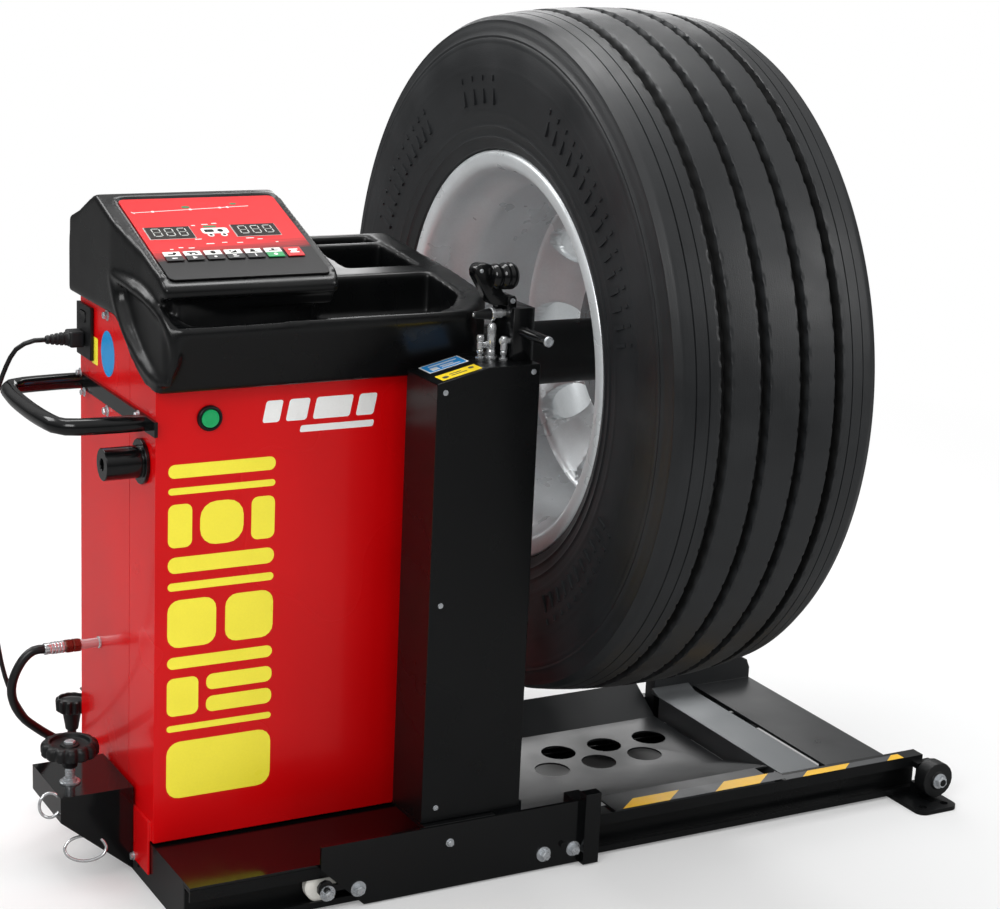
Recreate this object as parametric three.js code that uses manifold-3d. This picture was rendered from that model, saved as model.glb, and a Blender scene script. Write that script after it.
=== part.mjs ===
// Truck wheel balancer with a lifting carriage, shown with a wheel mounted on its shaft.
// Axes: X runs right along the balancing shaft, Y to the back, Z up. The floor is Z = 0.
import * as THREE from 'three';
import { mergeVertices } from 'three/addons/utils/BufferGeometryUtils.js';
import Module from 'manifold-3d';

const wasm = await Module();
wasm.setup();

// Shared sizes
const gap = 0.3;
const turnGap = 0.6;
const bite = 1;
const shaftHeight = 738;
const wheelSides = 32;
const fineSides = 28;
const roundSides = 20;
const smallSides = 10;

// Rails and base frame
const rail = { left: -757, right: 545, front: -290, back: -264.5, bottom: 6, top: 70, wall: 4, upperLip: 18, lowerLip: 10 };
const rearRail = { left: -278, right: 470, front: 60, back: 100, top: 20 };
const foot = { left: 485, right: 565, front: -369, boltRadius: 7, boltInset: 18 };
const base = { left: -757, right: -280, back: 195, sheet: 4, ribWidth: 30 };
const fork = { left: 524, right: 558, front: -304, bottom: 26, top: 62, axleRadius: 6, axleFront: -346 };
const endRoller = { x: 546, y: -320, z: 40, radius: 30, width: 26, hubRadius: 15, hubDepth: 3 };

// Balancing head
const chassis = { bottom: 75, sheet: 6, front: -90, back: 90, top: 62, leftPlate: -585, rightPlate: -330, plate: 10 };
const housing = { left: -590, right: 70, radius: 50, bore: 44 };
const bearing = { outer: 43.7, inner: 20.3, width: 22, leftStart: -575, rightStart: 42 };
const spindle = { radius: 20, left: -655, right: 262, flangeStart: 74, flangeEnd: 92, flangeRadius: 90 };
const drum = { radius: 105, left: -622, right: -602 };
const encoder = { radius: 62, left: -648, right: -645, headWidth: 18, headHeight: 30, headDepth: 26, slot: 8 };
const cone = { start: 93, seat: 129.6, end: 166, flare: 11.8, taper: 12.2 };
const cup = { wall: 8, overlap: 13.5, start: 168 };
const nut = { start: 186, end: 240, radius: 46, wingLength: 190, wingWidth: 26, wingDepth: 20 };
const motor = { radius: 58, left: -574, right: -400, shaftRadius: 9, wheelRadius: 31, footWidth: 80, footHeight: 12 };

// Wheel
const tyre = { centre: 21, halfWidth: 184, radius: 538, grooveDepth: 15, grooveWidth: 11, wall: 16, beadLift: 11 };
const rim = { left: -146, right: 189, flangeRadius: 320, seatRadius: 292, wellRadius: 270, sheet: 8, lip: 13 };
const disc = { padStart: 130, padRadius: 200, padDepth: 12, bore: 140.5, coneEnd: 56, holeRadius: 30, holeCircle: 226 };
const stud = { inset: 27, radius: 13 };
const handHoles = 10;
const studHoles = 10;

// Cabinet
const cabinet = { left: -757, right: -285, front: -140, seam: -32, back: 190, bottom: 78, frontTop: 32, sideTop: 94, sheet: 3 };
const flange = { front: -128, back: -36, bottom: 24, depth: 4 };
const tubeHole = { radius: 53 };
const board = { left: -700, right: -640, front: 90, back: 96, bottom: 260, top: 470 };
const starter = { x: -678, z: -26, bezel: 18.5, bezelDepth: 6, neck: 16.5, cap: 13.5, stem: 6, stemDepth: 20 };

// Moulded console
const shell = { left: -775, right: -250, wall: 4, back: 195 };
const hood = { right: -500, backLow: 190, lowTop: 213, shoulder: 150, shoulderTop: 227, ridge: 68, ridgeTop: 262, brow: -176, browTop: 177, neck: -150, neckTop: 152 };
const shelf = { backTop: 168, midY: -5, midTop: 152, wallY: -48, wallTop: 148, noseY: -150, noseTop: 134, lipY: -205, lipTop: 114 };
const skirt = { frontY: -165, frontDrop: 18, innerY: -150, cornerY: -11, cornerDrop: 100, backDrop: 99 };
const taper = { startY: 0, endY: -100, inset: 12, rightInset: 14, rightY: -150 };
const trough = { left: -738, right: -294, front: -192, step: -485, stepY: -146, back: -48, floor: 85, cornerX: -340, cornerY: -165 };
const pocket = { left: -408, right: -292, front: -5, back: 128, floor: 95 };
const ledge = { front: -20, back: 60, depth: 12, reach: 8 };
const rearPocket = { left: -408, right: -292, front: 142, back: 178, floor: 110 };

// Control panel, in the plane of the sloping hood
const panel = { left: -750, right: -512, nearEdge: 14, farEdge: 24, thickness: 2 };
const display = { width: 66, height: 32, depth: 1.6, insetLeft: 10.5, insetRight: 32, fromTop: 87 };
const key = { width: 25, height: 25, depth: 1.8, pitch: 30, fromBottom: 36, first: 25, travel: 0.6 };
const keyCount = 7;

// Left side fittings
const inlet = { front: 126, back: 190, bottom: 4, top: 84, depth: 6, socketY: 165, socketZ: 32 };
const socket = { width: 30, height: 24, depth: 22, plugLength: 34, plugGrip: 18 };
const rocker = { y: 160, z: 66, width: 24, height: 15, depth: 6, back: 2 };
const handle = { barFront: -150, barBack: 180, barHeight: 22, barDepth: 5, z: -35, tube: 12.5, front: -104, back: 172, reach: 128, bend: 42, steps: 26 };
const peg = { y: -88, z: -95, flangeRadius: 33, flangeDepth: 6, radius: 23.5, length: 60, socketRadius: 9 };
const bracket = { left: -872, front: -66, back: 72, top: 139, bottom: 8, leftBottom: 100, sheet: 4, lip: 38, hang: 90 };
const clamp = { x: -841, y: -13, screw: 7, screwBottom: 84, pad: 13, padDepth: 6, wheelZ: 205, wheelRadius: 43, wheelDepth: 20 };
const clampHub = { radius: 14, top: 209, bottom: 182, collar: 11, collarDepth: 8 };
const lobes = 10;
const lobe = { radius: 9, inset: 8 };
const rearClamp = { x: -762, y: 224, screw: 6, radius: 26, bottom: 152, top: 176, neck: 12, neckBottom: 118, pad: 17, padDepth: 6 };
const rearTab = { left: -792, right: -732, reach: 56 };
const knobLobes = 6;
const coupler = { y: 99, z: 310, seat: 15, seatDepth: 6, radius: 7.5, length: 88, nut: 11, nutStart: 32, nutLength: 24, ferrule: 9.5 };
const hose = { radius: 7, sides: 8, steps: 36, entryY: 168, entryZ: 118, straight: 14 };
const hoseRoute = [
  [-874, 100, 300],
  [-889, 101, 275],
  [-894, 103, 250],
  [-889, 106, 226],
  [-874, 111, 200],
  [-850, 120, 176],
  [-820, 136, 150],
  [-792, 156, 128],
];

// Carriage
const plate = { left: -561, right: -126, front: -300, back: -294, bottom: 3, top: 105, chamferX: 70, chamferZ: 45, cornerZ: 70, riseX: 60 };
const endFlange = { right: -100, front: -312, top: 118 };
const bridge = { back: -244, bottom: 76, top: 96, legBottom: 62.3, legFront: -262 };
const column = { left: -394, right: -229, front: -284, back: -186, bottom: 106, top: 53, shoulderX: -312, shoulderZ: 34, wall: 3 };
const seat = { right: -276, bottom: 99 };
const guideRoller = { leftX: -552, rightX: -158, z: 38, radius: 26, front: -288, back: -270, axle: 5, boss: 13 };
const deck = { left: 362, right: 482, front: -263.7, back: 131, bottom: 65, top: 70 };
const beam = { left: -200, frontY: -262, frontBack: -246, rearY: 159, rearBack: 177, bottom: 8, frontTop: 62, rearTop: 50, tie: 24, rib: 6 };
const stop = { left: 278, back: 160, top: 111, corner: 22 };
const crossBeam = { left: 272, right: 350, back: 147, sheet: 3, webFront: -243, webBottom: 30, kickLength: 26, kick: 8 };

// Lift
const tray = { left: -200, right: 265, flat: 35, sheet: 3, frontFold: -110, frontTop: -236, rearFold: 105, rearTop: 172, frontRise: 70.5, rearRise: 75 };
const lip = { left: -60, right: 240, front: -291.5 };
const trayHole = { radius: 29.5, firstX: 22, pitch: 90, rearY: 25, frontY: -35, shift: -46 };
const mast = { left: -272, right: -238, front: -234, back: -204, armBottom: 62, armTop: 90, top: 440, headLeft: -362, headHeight: 20 };
const slot = { top: 292, margin: 4 };
const cylinder = { x: -338, y: -219, radius: 26, bottom: 112, top: 330, bore: 10.4, boreBottom: 150, footHeight: 5 };
const rod = { radius: 10, bottom: 152 };

// Valve block on the column
const valve = { left: -262, right: -228, front: -258, back: -192, top: 130 };
const fitting = { radius: 6.5, pinX: -281, y: -228, pinTop: 105, sideX: -299, nearX: -270, sideTop: 88, nearY: -246, sideRadius: 5 };
const lever = { pivotX: -256, pivotZ: 138, tipX: -309, tipZ: 182, width: 24, front: -236, back: -214, knobLeft: -292, knobRight: -250, knobRadius: 20, pin: 4, ear: 4, earWidth: 14, earTop: 145 };
const plunger = { y: -228, z: 118, radius: 8, left: -312, collar: 10, collarWidth: 6, collarX: -284, stem: 5, travel: 4, bore: 16 };
const pushHandle = { x: -246, z: 96, radius: 8, tip: -332, cap: 6.5, capDepth: 3 };

// Mains lead
const lead = { radius: 3.6, sides: 8, steps: 48, straight: 16 };
const leadRoute = [
  [-858, 178, 757],
  [-875, 194, 716],
  [-888, 205, 655],
  [-893, 213, 560],
  [-892, 220, 450],
  [-886, 226, 340],
  [-873, 231, 250],
  [-861, 235, 206],
  [-848, 241, 177],
  [-821, 256, 132],
  [-790, 276, 97],
  [-754, 302, 66],
  [-716, 333, 36],
  [-678, 370, 14],
  [-654, 402, 6],
];
const coil = { x: -603, y: 452, radius: 40, rise: 7.7, turns: 7, steps: 24, sides: 6, drift: 1, base: 5, hop: 13 };
const plug = { body: 12, length: 46, pin: 2.4, pinLength: 19, pinPitch: 9.5 };

// Share tables: across the tyre's half width and from the rim's flange to the crown, and along profiles
const crownShares = [[-0.86, 0.9383], [-0.45, 0.9877], [0, 1], [0.45, 0.9877], [0.86, 0.9383]];
const wallShares = [[0.935, 0.8889], [0.985, 0.7039], [1, 0.4817], [0.965, 0.2103], [0.91, 0.0128]];
const liningShares = [[0.82, 0.2103], [0.84, 0.6545], [0.7, 0.8272]];
const grooveShares = [-0.52, -0.18, 0.18, 0.52];
const rimShares = { seat: 0.12, wellStart: 0.3, wellEnd: 0.72, rise: 0.86 };

// Colours
const paint = {
  black: [0x16181a, 0.45, 0.1],
  gloss: [0x101214, 0.18, 0.1],
  red: [0xd3060e, 0.32, 0.1],
  moulded: [0x191b1c, 0.5, 0],
  steel: [0xb9bec2, 0.3, 0.9],
  silver: [0x9aa0a2, 0.42, 0.7],
  grey: [0x6c7072, 0.45, 0.6],
  rubber: [0x2c2d2e, 0.85, 0],
  nylon: [0xe8e8e2, 0.5, 0],
  green: [0x0fa35a, 0.35, 0],
  brass: [0xb7924a, 0.35, 0.8],
  board: [0x1d6b3c, 0.55, 0.1],
  dark: [0x2b2e31, 0.3, 0],
};

const group = new THREE.Group();
group.name = 'truck_wheel_balancer';

// The floor height of a place measured from the shaft
const up = (z) => shaftHeight + z;

function bare(geometry) {
  const copy = geometry.index ? geometry.toNonIndexed() : geometry.clone();
  copy.deleteAttribute('normal');
  copy.deleteAttribute('uv');
  return mergeVertices(copy);
}

function toSolid(geometry) {
  const welded = bare(geometry);
  const points = welded.attributes.position.array;
  const faces = Uint32Array.from(welded.index.array);
  let volume = 0;
  const a = new THREE.Vector3();
  const b = new THREE.Vector3();
  const c = new THREE.Vector3();
  for (let i = 0; i < faces.length; i += 3) {
    a.fromArray(points, faces[i] * 3);
    b.fromArray(points, faces[i + 1] * 3);
    c.fromArray(points, faces[i + 2] * 3);
    volume += a.dot(b.cross(c));
  }
  if (volume < 0) {
    for (let i = 0; i < faces.length; i += 3) {
      const kept = faces[i + 1];
      faces[i + 1] = faces[i + 2];
      faces[i + 2] = kept;
    }
  }
  return new wasm.Manifold(new wasm.Mesh({ numProp: 3, vertProperties: Float32Array.from(points), triVerts: faces }));
}

function fromSolid(solid) {
  const mesh = solid.getMesh();
  const geometry = new THREE.BufferGeometry();
  geometry.setAttribute('position', new THREE.BufferAttribute(Float32Array.from(mesh.vertProperties), 3));
  geometry.setIndex(Array.from(mesh.triVerts));
  return geometry;
}

function join(...shapes) {
  return shapes.slice(1).reduce((whole, shape) => whole.add(shape), shapes[0]);
}

function cut(shape, ...tools) {
  return tools.reduce((left, tool) => left.subtract(tool), shape);
}

function add(name, solid, finish) {
  const [color, roughness, metalness] = paint[finish];
  const geometry = fromSolid(solid).toNonIndexed();
  geometry.computeVertexNormals();
  const mesh = new THREE.Mesh(geometry, new THREE.MeshStandardMaterial({ color, roughness, metalness }));
  mesh.name = name;
  group.add(mesh);
}

function box(x0, x1, y0, y1, z0, z1) {
  const geometry = new THREE.BoxGeometry(x1 - x0, y1 - y0, z1 - z0);
  geometry.translate((x0 + x1) / 2, (y0 + y1) / 2, (z0 + z1) / 2);
  return toSolid(geometry);
}

function outline(points) {
  return new THREE.Shape(points.map(([u, v]) => new THREE.Vector2(u, v)));
}

function extrude(points, depth) {
  return new THREE.ExtrudeGeometry(outline(points), { depth, bevelEnabled: false, steps: 1 });
}

// Points are (Y, Z) and the prism runs from x0 to x1.
function prismX(points, x0, x1) {
  const geometry = extrude(points, x1 - x0);
  geometry.applyMatrix4(new THREE.Matrix4().set(0, 0, 1, x0, 1, 0, 0, 0, 0, 1, 0, 0, 0, 0, 0, 1));
  return toSolid(geometry);
}

// Points are (X, Z) and the prism runs from y0 to y1.
function prismY(points, y0, y1) {
  const geometry = extrude(points, y1 - y0);
  geometry.rotateX(Math.PI / 2);
  geometry.translate(0, y1, 0);
  return toSolid(geometry);
}

// Points are (X, Y) and the prism runs from z0 to z1.
function prismZ(points, z0, z1) {
  const geometry = extrude(points, z1 - z0);
  geometry.translate(0, 0, z0);
  return toSolid(geometry);
}

// A cylinder along one axis; a and b are its centre on the other two, in X, Y, Z order.
function roundBar(axis, radius, from, to, a, b, sides = roundSides, endRadius = radius) {
  const geometry = new THREE.CylinderGeometry(endRadius, radius, to - from, sides);
  const middle = (from + to) / 2;
  if (axis === 'x') {
    geometry.rotateZ(-Math.PI / 2);
    geometry.translate(middle, a, b);
  } else if (axis === 'y') {
    geometry.translate(a, middle, b);
  } else {
    geometry.rotateX(Math.PI / 2);
    geometry.translate(a, b, middle);
  }
  return toSolid(geometry);
}

// A closed profile of (X, radius) points turned about the balancing shaft.
function turned(points, sides = wheelSides) {
  const closed = [...points, points[0]];
  const geometry = new THREE.LatheGeometry(closed.map(([x, radius]) => new THREE.Vector2(radius, x)), sides);
  geometry.rotateZ(-Math.PI / 2);
  geometry.translate(0, 0, shaftHeight);
  return toSolid(geometry);
}

// A round tube of constant radius along a smooth path.
function sweep(path, radius, sides, steps) {
  const ring = [];
  for (let i = 0; i < sides; i += 1) {
    const angle = (2 * Math.PI * i) / sides;
    ring.push([radius * Math.cos(angle), radius * Math.sin(angle)]);
  }
  const geometry = new THREE.ExtrudeGeometry(outline(ring), { steps, extrudePath: path, bevelEnabled: false });
  return toSolid(geometry);
}

function curve(points) {
  return new THREE.CatmullRomCurve3(points.map(([x, y, z]) => new THREE.Vector3(x, y, z)), false, 'centripetal');
}

function shaftRod(radius, from, to, sides = roundSides) {
  return roundBar('x', radius, from, to, 0, shaftHeight, sides);
}

// Front rail: a lipped channel open to the front, on its foot plate, with the end roller's fork
const railProfile = [
  [rail.back, rail.bottom],
  [rail.back, rail.top],
  [rail.front, rail.top],
  [rail.front, rail.top - rail.upperLip],
  [rail.front + rail.wall, rail.top - rail.upperLip],
  [rail.front + rail.wall, rail.top - rail.wall],
  [rail.back - rail.wall, rail.top - rail.wall],
  [rail.back - rail.wall, rail.bottom + rail.wall],
  [rail.front + rail.wall, rail.bottom + rail.wall],
  [rail.front + rail.wall, rail.bottom + rail.lowerLip],
  [rail.front, rail.bottom + rail.lowerLip],
  [rail.front, rail.bottom],
];
const footPlate = cut(
  box(foot.left, foot.right, foot.front, rail.back, 0, rail.bottom + bite),
  roundBar('z', foot.boltRadius, -bite, foot.boltInset, foot.left + foot.boltInset, foot.front + foot.boltInset, smallSides),
  roundBar('z', foot.boltRadius, -bite, foot.boltInset, foot.right - foot.boltInset, foot.front + foot.boltInset, smallSides),
);
add('front_rail', join(
  prismX(railProfile, rail.left, rail.right),
  footPlate,
  box(fork.left, fork.right, fork.front, rail.front + bite, rail.top - rail.upperLip, fork.top),
  box(fork.left, fork.right, fork.front, rail.front + bite, rail.bottom, fork.bottom),
  box(fork.left, fork.right, fork.front, fork.front + rail.wall, rail.bottom, fork.top),
  roundBar('y', fork.axleRadius, fork.axleFront, fork.front + bite, endRoller.x, endRoller.z, smallSides),
), 'black');

// End roller on the fork's axle
const rollerFront = endRoller.y - endRoller.width / 2;
const rollerBack = endRoller.y + endRoller.width / 2;
add('end_roller', cut(
  join(
    roundBar('y', endRoller.radius, rollerFront, rollerBack, endRoller.x, endRoller.z),
    roundBar('y', endRoller.hubRadius, rollerFront - endRoller.hubDepth, rollerFront + bite, endRoller.x, endRoller.z),
  ),
  roundBar('y', fork.axleRadius + turnGap, fork.axleFront - bite, fork.front, endRoller.x, endRoller.z, smallSides),
), 'dark');

// Rear rail: a low channel under the tray
add('rear_rail', cut(
  box(rearRail.left, rearRail.right, rearRail.front, rearRail.back, 0, rearRail.top),
  box(rearRail.left - bite, rearRail.right + bite, rearRail.front - bite, rearRail.back - rail.wall, rail.wall,
    rearRail.top - rail.wall),
), 'black');

// Base frame: the covered plinth under the cabinet
const baseTop = rail.top + gap + base.sheet;
add('base_frame', join(
  box(base.left, base.right, rail.front, base.back, rail.top + gap, baseTop),
  box(base.left, base.left + base.sheet, rail.back + gap, base.back, 0, baseTop),
  box(base.left, base.right, base.back - base.sheet, base.back, 0, baseTop),
  box(base.left, base.right - base.ribWidth, -base.sheet, 0, 0, baseTop),
  cut(
    box(rearTab.left, rearTab.right, base.back - bite, base.back + rearTab.reach, rail.top + gap, baseTop),
    roundBar('z', rearClamp.screw + turnGap, 0, baseTop + bite, rearClamp.x, rearClamp.y, smallSides),
  ),
), 'gloss');

// Chassis: two bearing plates on a floor plate, with the encoder's forked head
const motorZ = shaftHeight - drum.radius - motor.wheelRadius - gap;
const headX = encoder.left - encoder.slot;
const headTop = shaftHeight + encoder.radius + encoder.headHeight / 2;
const headBottom = headTop - encoder.headHeight;
add('chassis', cut(
  join(
    box(chassis.leftPlate, chassis.rightPlate + chassis.plate, chassis.front, chassis.back, chassis.bottom,
      chassis.bottom + chassis.sheet),
    box(chassis.leftPlate, chassis.leftPlate + chassis.plate, chassis.front, chassis.back, chassis.bottom, up(chassis.top)),
    box(chassis.rightPlate, chassis.rightPlate + chassis.plate, chassis.front, chassis.back, chassis.bottom, up(chassis.top)),
    box(chassis.leftPlate, chassis.rightPlate, -chassis.plate / 2, chassis.plate / 2, chassis.bottom,
      chassis.bottom + chassis.back),
    box(headX, chassis.leftPlate + bite, drum.radius + encoder.headDepth, drum.radius + encoder.headDepth + chassis.sheet,
      headBottom, headTop),
    box(headX, headX + encoder.headWidth, -encoder.headDepth / 2, drum.radius + encoder.headDepth + bite,
      headBottom, headTop),
    box(chassis.leftPlate, chassis.leftPlate + chassis.plate, 0, drum.radius + encoder.headDepth + chassis.sheet,
      headBottom, headTop),
  ),
  shaftRod(housing.radius + gap, chassis.leftPlate - bite, chassis.rightPlate + chassis.plate + bite, fineSides),
  shaftRod(encoder.radius + encoder.slot / 2, encoder.left - encoder.slot / 4, encoder.right + encoder.slot / 4, fineSides),
  roundBar('x', motor.shaftRadius + turnGap, chassis.leftPlate - bite, chassis.leftPlate + chassis.plate + bite, 0, motorZ,
    smallSides),
), 'grey');

// Shaft housing: the black tube that carries both bearings
add('shaft_housing', cut(
  shaftRod(housing.radius, housing.left, housing.right, fineSides),
  shaftRod(housing.bore, housing.left - bite, housing.right + bite, fineSides),
), 'black');

// Two bearings inside the housing
function addBearing(name, start) {
  add(name, cut(
    shaftRod(bearing.outer, start, start + bearing.width, fineSides),
    shaftRod(bearing.inner, start - bite, start + bearing.width + bite, fineSides),
  ), 'steel');
}
addBearing('bearing_inboard', bearing.leftStart);
addBearing('bearing_outboard', bearing.rightStart);

// Spindle with its mounting flange
add('spindle', join(
  shaftRod(spindle.radius, spindle.left, spindle.right, fineSides),
  shaftRod(spindle.flangeRadius, spindle.flangeStart, spindle.flangeEnd, fineSides),
), 'steel');

function shaftRing(name, radius, from, to, finish) {
  add(name, cut(
    shaftRod(radius, from, to, fineSides),
    shaftRod(spindle.radius + gap, from - bite, to + bite, fineSides),
  ), finish);
}
shaftRing('drive_drum', drum.radius, drum.left, drum.right, 'grey');
shaftRing('encoder_disc', encoder.radius, encoder.left, encoder.right, 'steel');

// Centring cone that seats in the wheel's bore from the inside
const coneSeat = disc.bore - gap;
add('centring_cone', turned([
  [cone.start, spindle.radius + gap],
  [cone.start, coneSeat + cone.flare],
  [cone.seat, coneSeat],
  [cone.end, coneSeat - cone.taper],
  [cone.end, spindle.radius + gap],
]), 'steel');

// Clamping cup that presses on the outside of the disc
const cupStart = disc.padStart + disc.padDepth + gap;
const cupRadius = disc.bore + cup.overlap;
add('clamping_cup', turned([
  [cupStart, cupRadius],
  [cupStart, cupRadius - cup.wall],
  [cup.start, cupRadius - cup.wall],
  [cup.start, spindle.radius + gap],
  [nut.start - gap, spindle.radius + gap],
  [nut.start - gap, cupRadius],
]), 'steel');

// Quick nut with two wings
add('quick_nut', cut(
  join(
    shaftRod(nut.radius, nut.start, nut.end, fineSides),
    box(nut.start + nut.wingDepth / 2, nut.start + nut.wingDepth * 3 / 2, -nut.wingLength / 2, nut.wingLength / 2,
      shaftHeight - nut.wingWidth / 2, shaftHeight + nut.wingWidth / 2),
  ),
  shaftRod(spindle.radius + gap, nut.start - bite, nut.end + bite, fineSides),
), 'steel');

// Rim: a drop-centre barrel welded to a coned disc with hand holes
const rimSpan = rim.right - rim.left;
const rimAt = (share) => rim.left + rimSpan * share;
const barrelProfile = [
  [rim.left, rim.flangeRadius],
  [rim.left + rim.lip, rim.flangeRadius],
  [rim.left + rim.lip, rim.seatRadius + rim.sheet],
  [rimAt(rimShares.seat), rim.seatRadius],
  [rimAt(rimShares.wellStart), rim.wellRadius],
  [rimAt(rimShares.wellEnd), rim.wellRadius],
  [rimAt(rimShares.rise), rim.seatRadius],
  [rim.right - rim.lip, rim.seatRadius + rim.sheet],
  [rim.right - rim.lip, rim.flangeRadius],
  [rim.right, rim.flangeRadius],
  [rim.right, rim.seatRadius],
  [rimAt(rimShares.rise), rim.seatRadius - rim.sheet],
  [rimAt(rimShares.wellEnd), rim.wellRadius - rim.sheet],
  [rimAt(rimShares.wellStart), rim.wellRadius - rim.sheet],
  [rimAt(rimShares.seat), rim.seatRadius - rim.sheet],
  [rim.left, rim.seatRadius],
];
const discProfile = [
  [disc.padStart, disc.bore],
  [disc.padStart + disc.padDepth, disc.bore],
  [disc.padStart + disc.padDepth, disc.padRadius],
  [disc.coneEnd + disc.padDepth * 2, rim.wellRadius - rim.sheet + bite],
  [disc.coneEnd, rim.wellRadius - rim.sheet + bite],
  [disc.padStart, disc.padRadius - disc.padDepth],
];
function ringOfHoles(count, radius, circle, sides) {
  const holes = [];
  for (let i = 0; i < count; i += 1) {
    const angle = (2 * Math.PI * i) / count;
    const y = circle * Math.cos(angle);
    const z = shaftHeight + circle * Math.sin(angle);
    holes.push(roundBar('x', radius, disc.coneEnd - disc.padDepth, disc.padStart + disc.padDepth * 2, y, z, sides));
  }
  return holes;
}
add('rim', cut(
  join(turned(barrelProfile), turned(discProfile)),
  ...ringOfHoles(handHoles, disc.holeRadius, disc.holeCircle, smallSides),
  ...ringOfHoles(studHoles, stud.radius, disc.bore + stud.inset, smallSides),
), 'silver');

// Tyre: crown with four grooves, two bulged walls and an open inside
const across = (share) => tyre.centre + tyre.halfWidth * share;
const outward = (share) => rim.flangeRadius + (tyre.radius - rim.flangeRadius) * share;
const beadRadius = rim.seatRadius + tyre.beadLift;
const outside = [];
const wallLeft = wallShares.map(([x, radius]) => [across(-x), outward(radius)]).reverse();
outside.push([rim.left + rim.lip + gap, beadRadius]);
outside.push([rim.left + rim.lip + gap, rim.flangeRadius + gap]);
outside.push(...wallLeft);
const crown = crownShares.map(([x, radius]) => [across(x), outward(radius)]);
function crownRadius(x) {
  for (let i = 1; i < crown.length; i += 1) {
    if (x <= crown[i][0]) {
      const share = (x - crown[i - 1][0]) / (crown[i][0] - crown[i - 1][0]);
      return crown[i - 1][1] + share * (crown[i][1] - crown[i - 1][1]);
    }
  }
  return crown[crown.length - 1][1];
}
const grooveEdges = grooveShares.flatMap((share) => {
  const middle = across(share);
  const left = middle - tyre.grooveWidth / 2;
  const right = middle + tyre.grooveWidth / 2;
  const deep = crownRadius(middle) - tyre.grooveDepth;
  return [[left, crownRadius(left)], [left, deep], [right, deep], [right, crownRadius(right)]];
});
outside.push(crown[0], ...grooveEdges, crown[crown.length - 1]);
outside.push(...wallShares.map(([x, radius]) => [across(x), outward(radius)]));
outside.push([rim.right - rim.lip - gap, rim.flangeRadius + gap]);
outside.push([rim.right - rim.lip - gap, beadRadius]);
const liningRight = liningShares.map(([x, radius]) => [across(x), outward(radius)]);
const liningLeft = liningShares.map(([x, radius]) => [across(-x), outward(radius)]).reverse();
const inside = [
  [rim.right - rim.lip - tyre.wall * 2, beadRadius],
  ...liningRight,
  ...liningLeft,
  [rim.left + rim.lip + tyre.wall * 2, beadRadius],
];
add('tyre', turned([...outside, ...inside]), 'rubber');

// Drive motor hung under the housing, with its friction wheel against the drum
add('drive_motor', join(
  roundBar('x', motor.radius, motor.left, motor.right, 0, motorZ, roundSides),
  box(motor.left, motor.right, -motor.footWidth / 2, motor.footWidth / 2, motorZ - motor.radius - motor.footHeight,
    motorZ - motor.radius + motor.footHeight),
), 'dark');
add('motor_wheel', join(
  roundBar('x', motor.wheelRadius, drum.left, drum.right, 0, motorZ, fineSides),
  roundBar('x', motor.shaftRadius, drum.right - bite, motor.left - gap, 0, motorZ, smallSides),
), 'rubber');

// Cabinet: a red front cover with side returns, and a red rear shell
const returnTop = [
  [cabinet.front, cabinet.bottom],
  [cabinet.seam, cabinet.bottom],
  [cabinet.seam, up(cabinet.sideTop - cabinet.sheet)],
  [cabinet.front, up(cabinet.frontTop)],
];
add('cabinet_front', cut(
  join(
    cut(
      prismX(returnTop, cabinet.left, cabinet.right),
      box(cabinet.left + cabinet.sheet, cabinet.right - cabinet.sheet, cabinet.front + cabinet.sheet, cabinet.seam + bite,
        cabinet.bottom - bite, up(cabinet.sideTop) + bite),
    ),
    box(cabinet.left - flange.depth, cabinet.left, flange.front, flange.back, flange.bottom, cabinet.bottom + base.ribWidth),
  ),
  shaftRod(tubeHole.radius, cabinet.right - cabinet.sheet - bite, cabinet.right + bite),
  roundBar('y', starter.neck + gap, cabinet.front - bite, cabinet.front + cabinet.sheet + bite, starter.x, up(starter.z)),
), 'red');
add('cabinet_rear', cut(
  box(cabinet.left, cabinet.right, cabinet.seam + gap, cabinet.back, cabinet.bottom, up(cabinet.sideTop)),
  box(cabinet.left + cabinet.sheet, cabinet.right - cabinet.sheet, cabinet.seam - bite, cabinet.back - cabinet.sheet,
    cabinet.bottom - bite, up(cabinet.sideTop) + bite),
  shaftRod(tubeHole.radius, cabinet.right - cabinet.sheet - bite, cabinet.right + bite),
  roundBar('x', coupler.radius, cabinet.left - bite, cabinet.left + cabinet.sheet + bite, coupler.y, coupler.z, smallSides),
), 'red');

// Power board on the inside of the cabinet's back
add('power_board', join(
  box(board.left, board.right, cabinet.back - cabinet.sheet - gap - base.sheet, cabinet.back - cabinet.sheet - gap,
    board.bottom, board.top),
  box(board.left + socket.width / 2, board.right - socket.width / 2,
    cabinet.back - cabinet.sheet - base.sheet - socket.width, cabinet.back - cabinet.sheet - base.sheet,
    board.bottom + socket.width, board.top - socket.width),
), 'board');

// Start button in its bezel
const bezelFront = cabinet.front - gap - starter.bezelDepth;
const bezelBack = cabinet.front + starter.stemDepth;
add('start_bezel', cut(
  join(
    roundBar('y', starter.bezel, bezelFront, cabinet.front - gap, starter.x, up(starter.z)),
    roundBar('y', starter.neck, bezelFront + bite, bezelBack, starter.x, up(starter.z)),
  ),
  roundBar('y', starter.cap + gap, bezelFront - bite, cabinet.front + starter.bezelDepth, starter.x, up(starter.z)),
  roundBar('y', starter.stem + gap, cabinet.front, bezelBack + bite, starter.x, up(starter.z), smallSides),
), 'black');
add('start_button', join(
  roundBar('y', starter.cap, bezelFront - bite, cabinet.front, starter.x, up(starter.z)),
  roundBar('y', starter.stem, cabinet.front - bite, bezelBack, starter.x, up(starter.z), smallSides),
), 'green');

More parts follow.
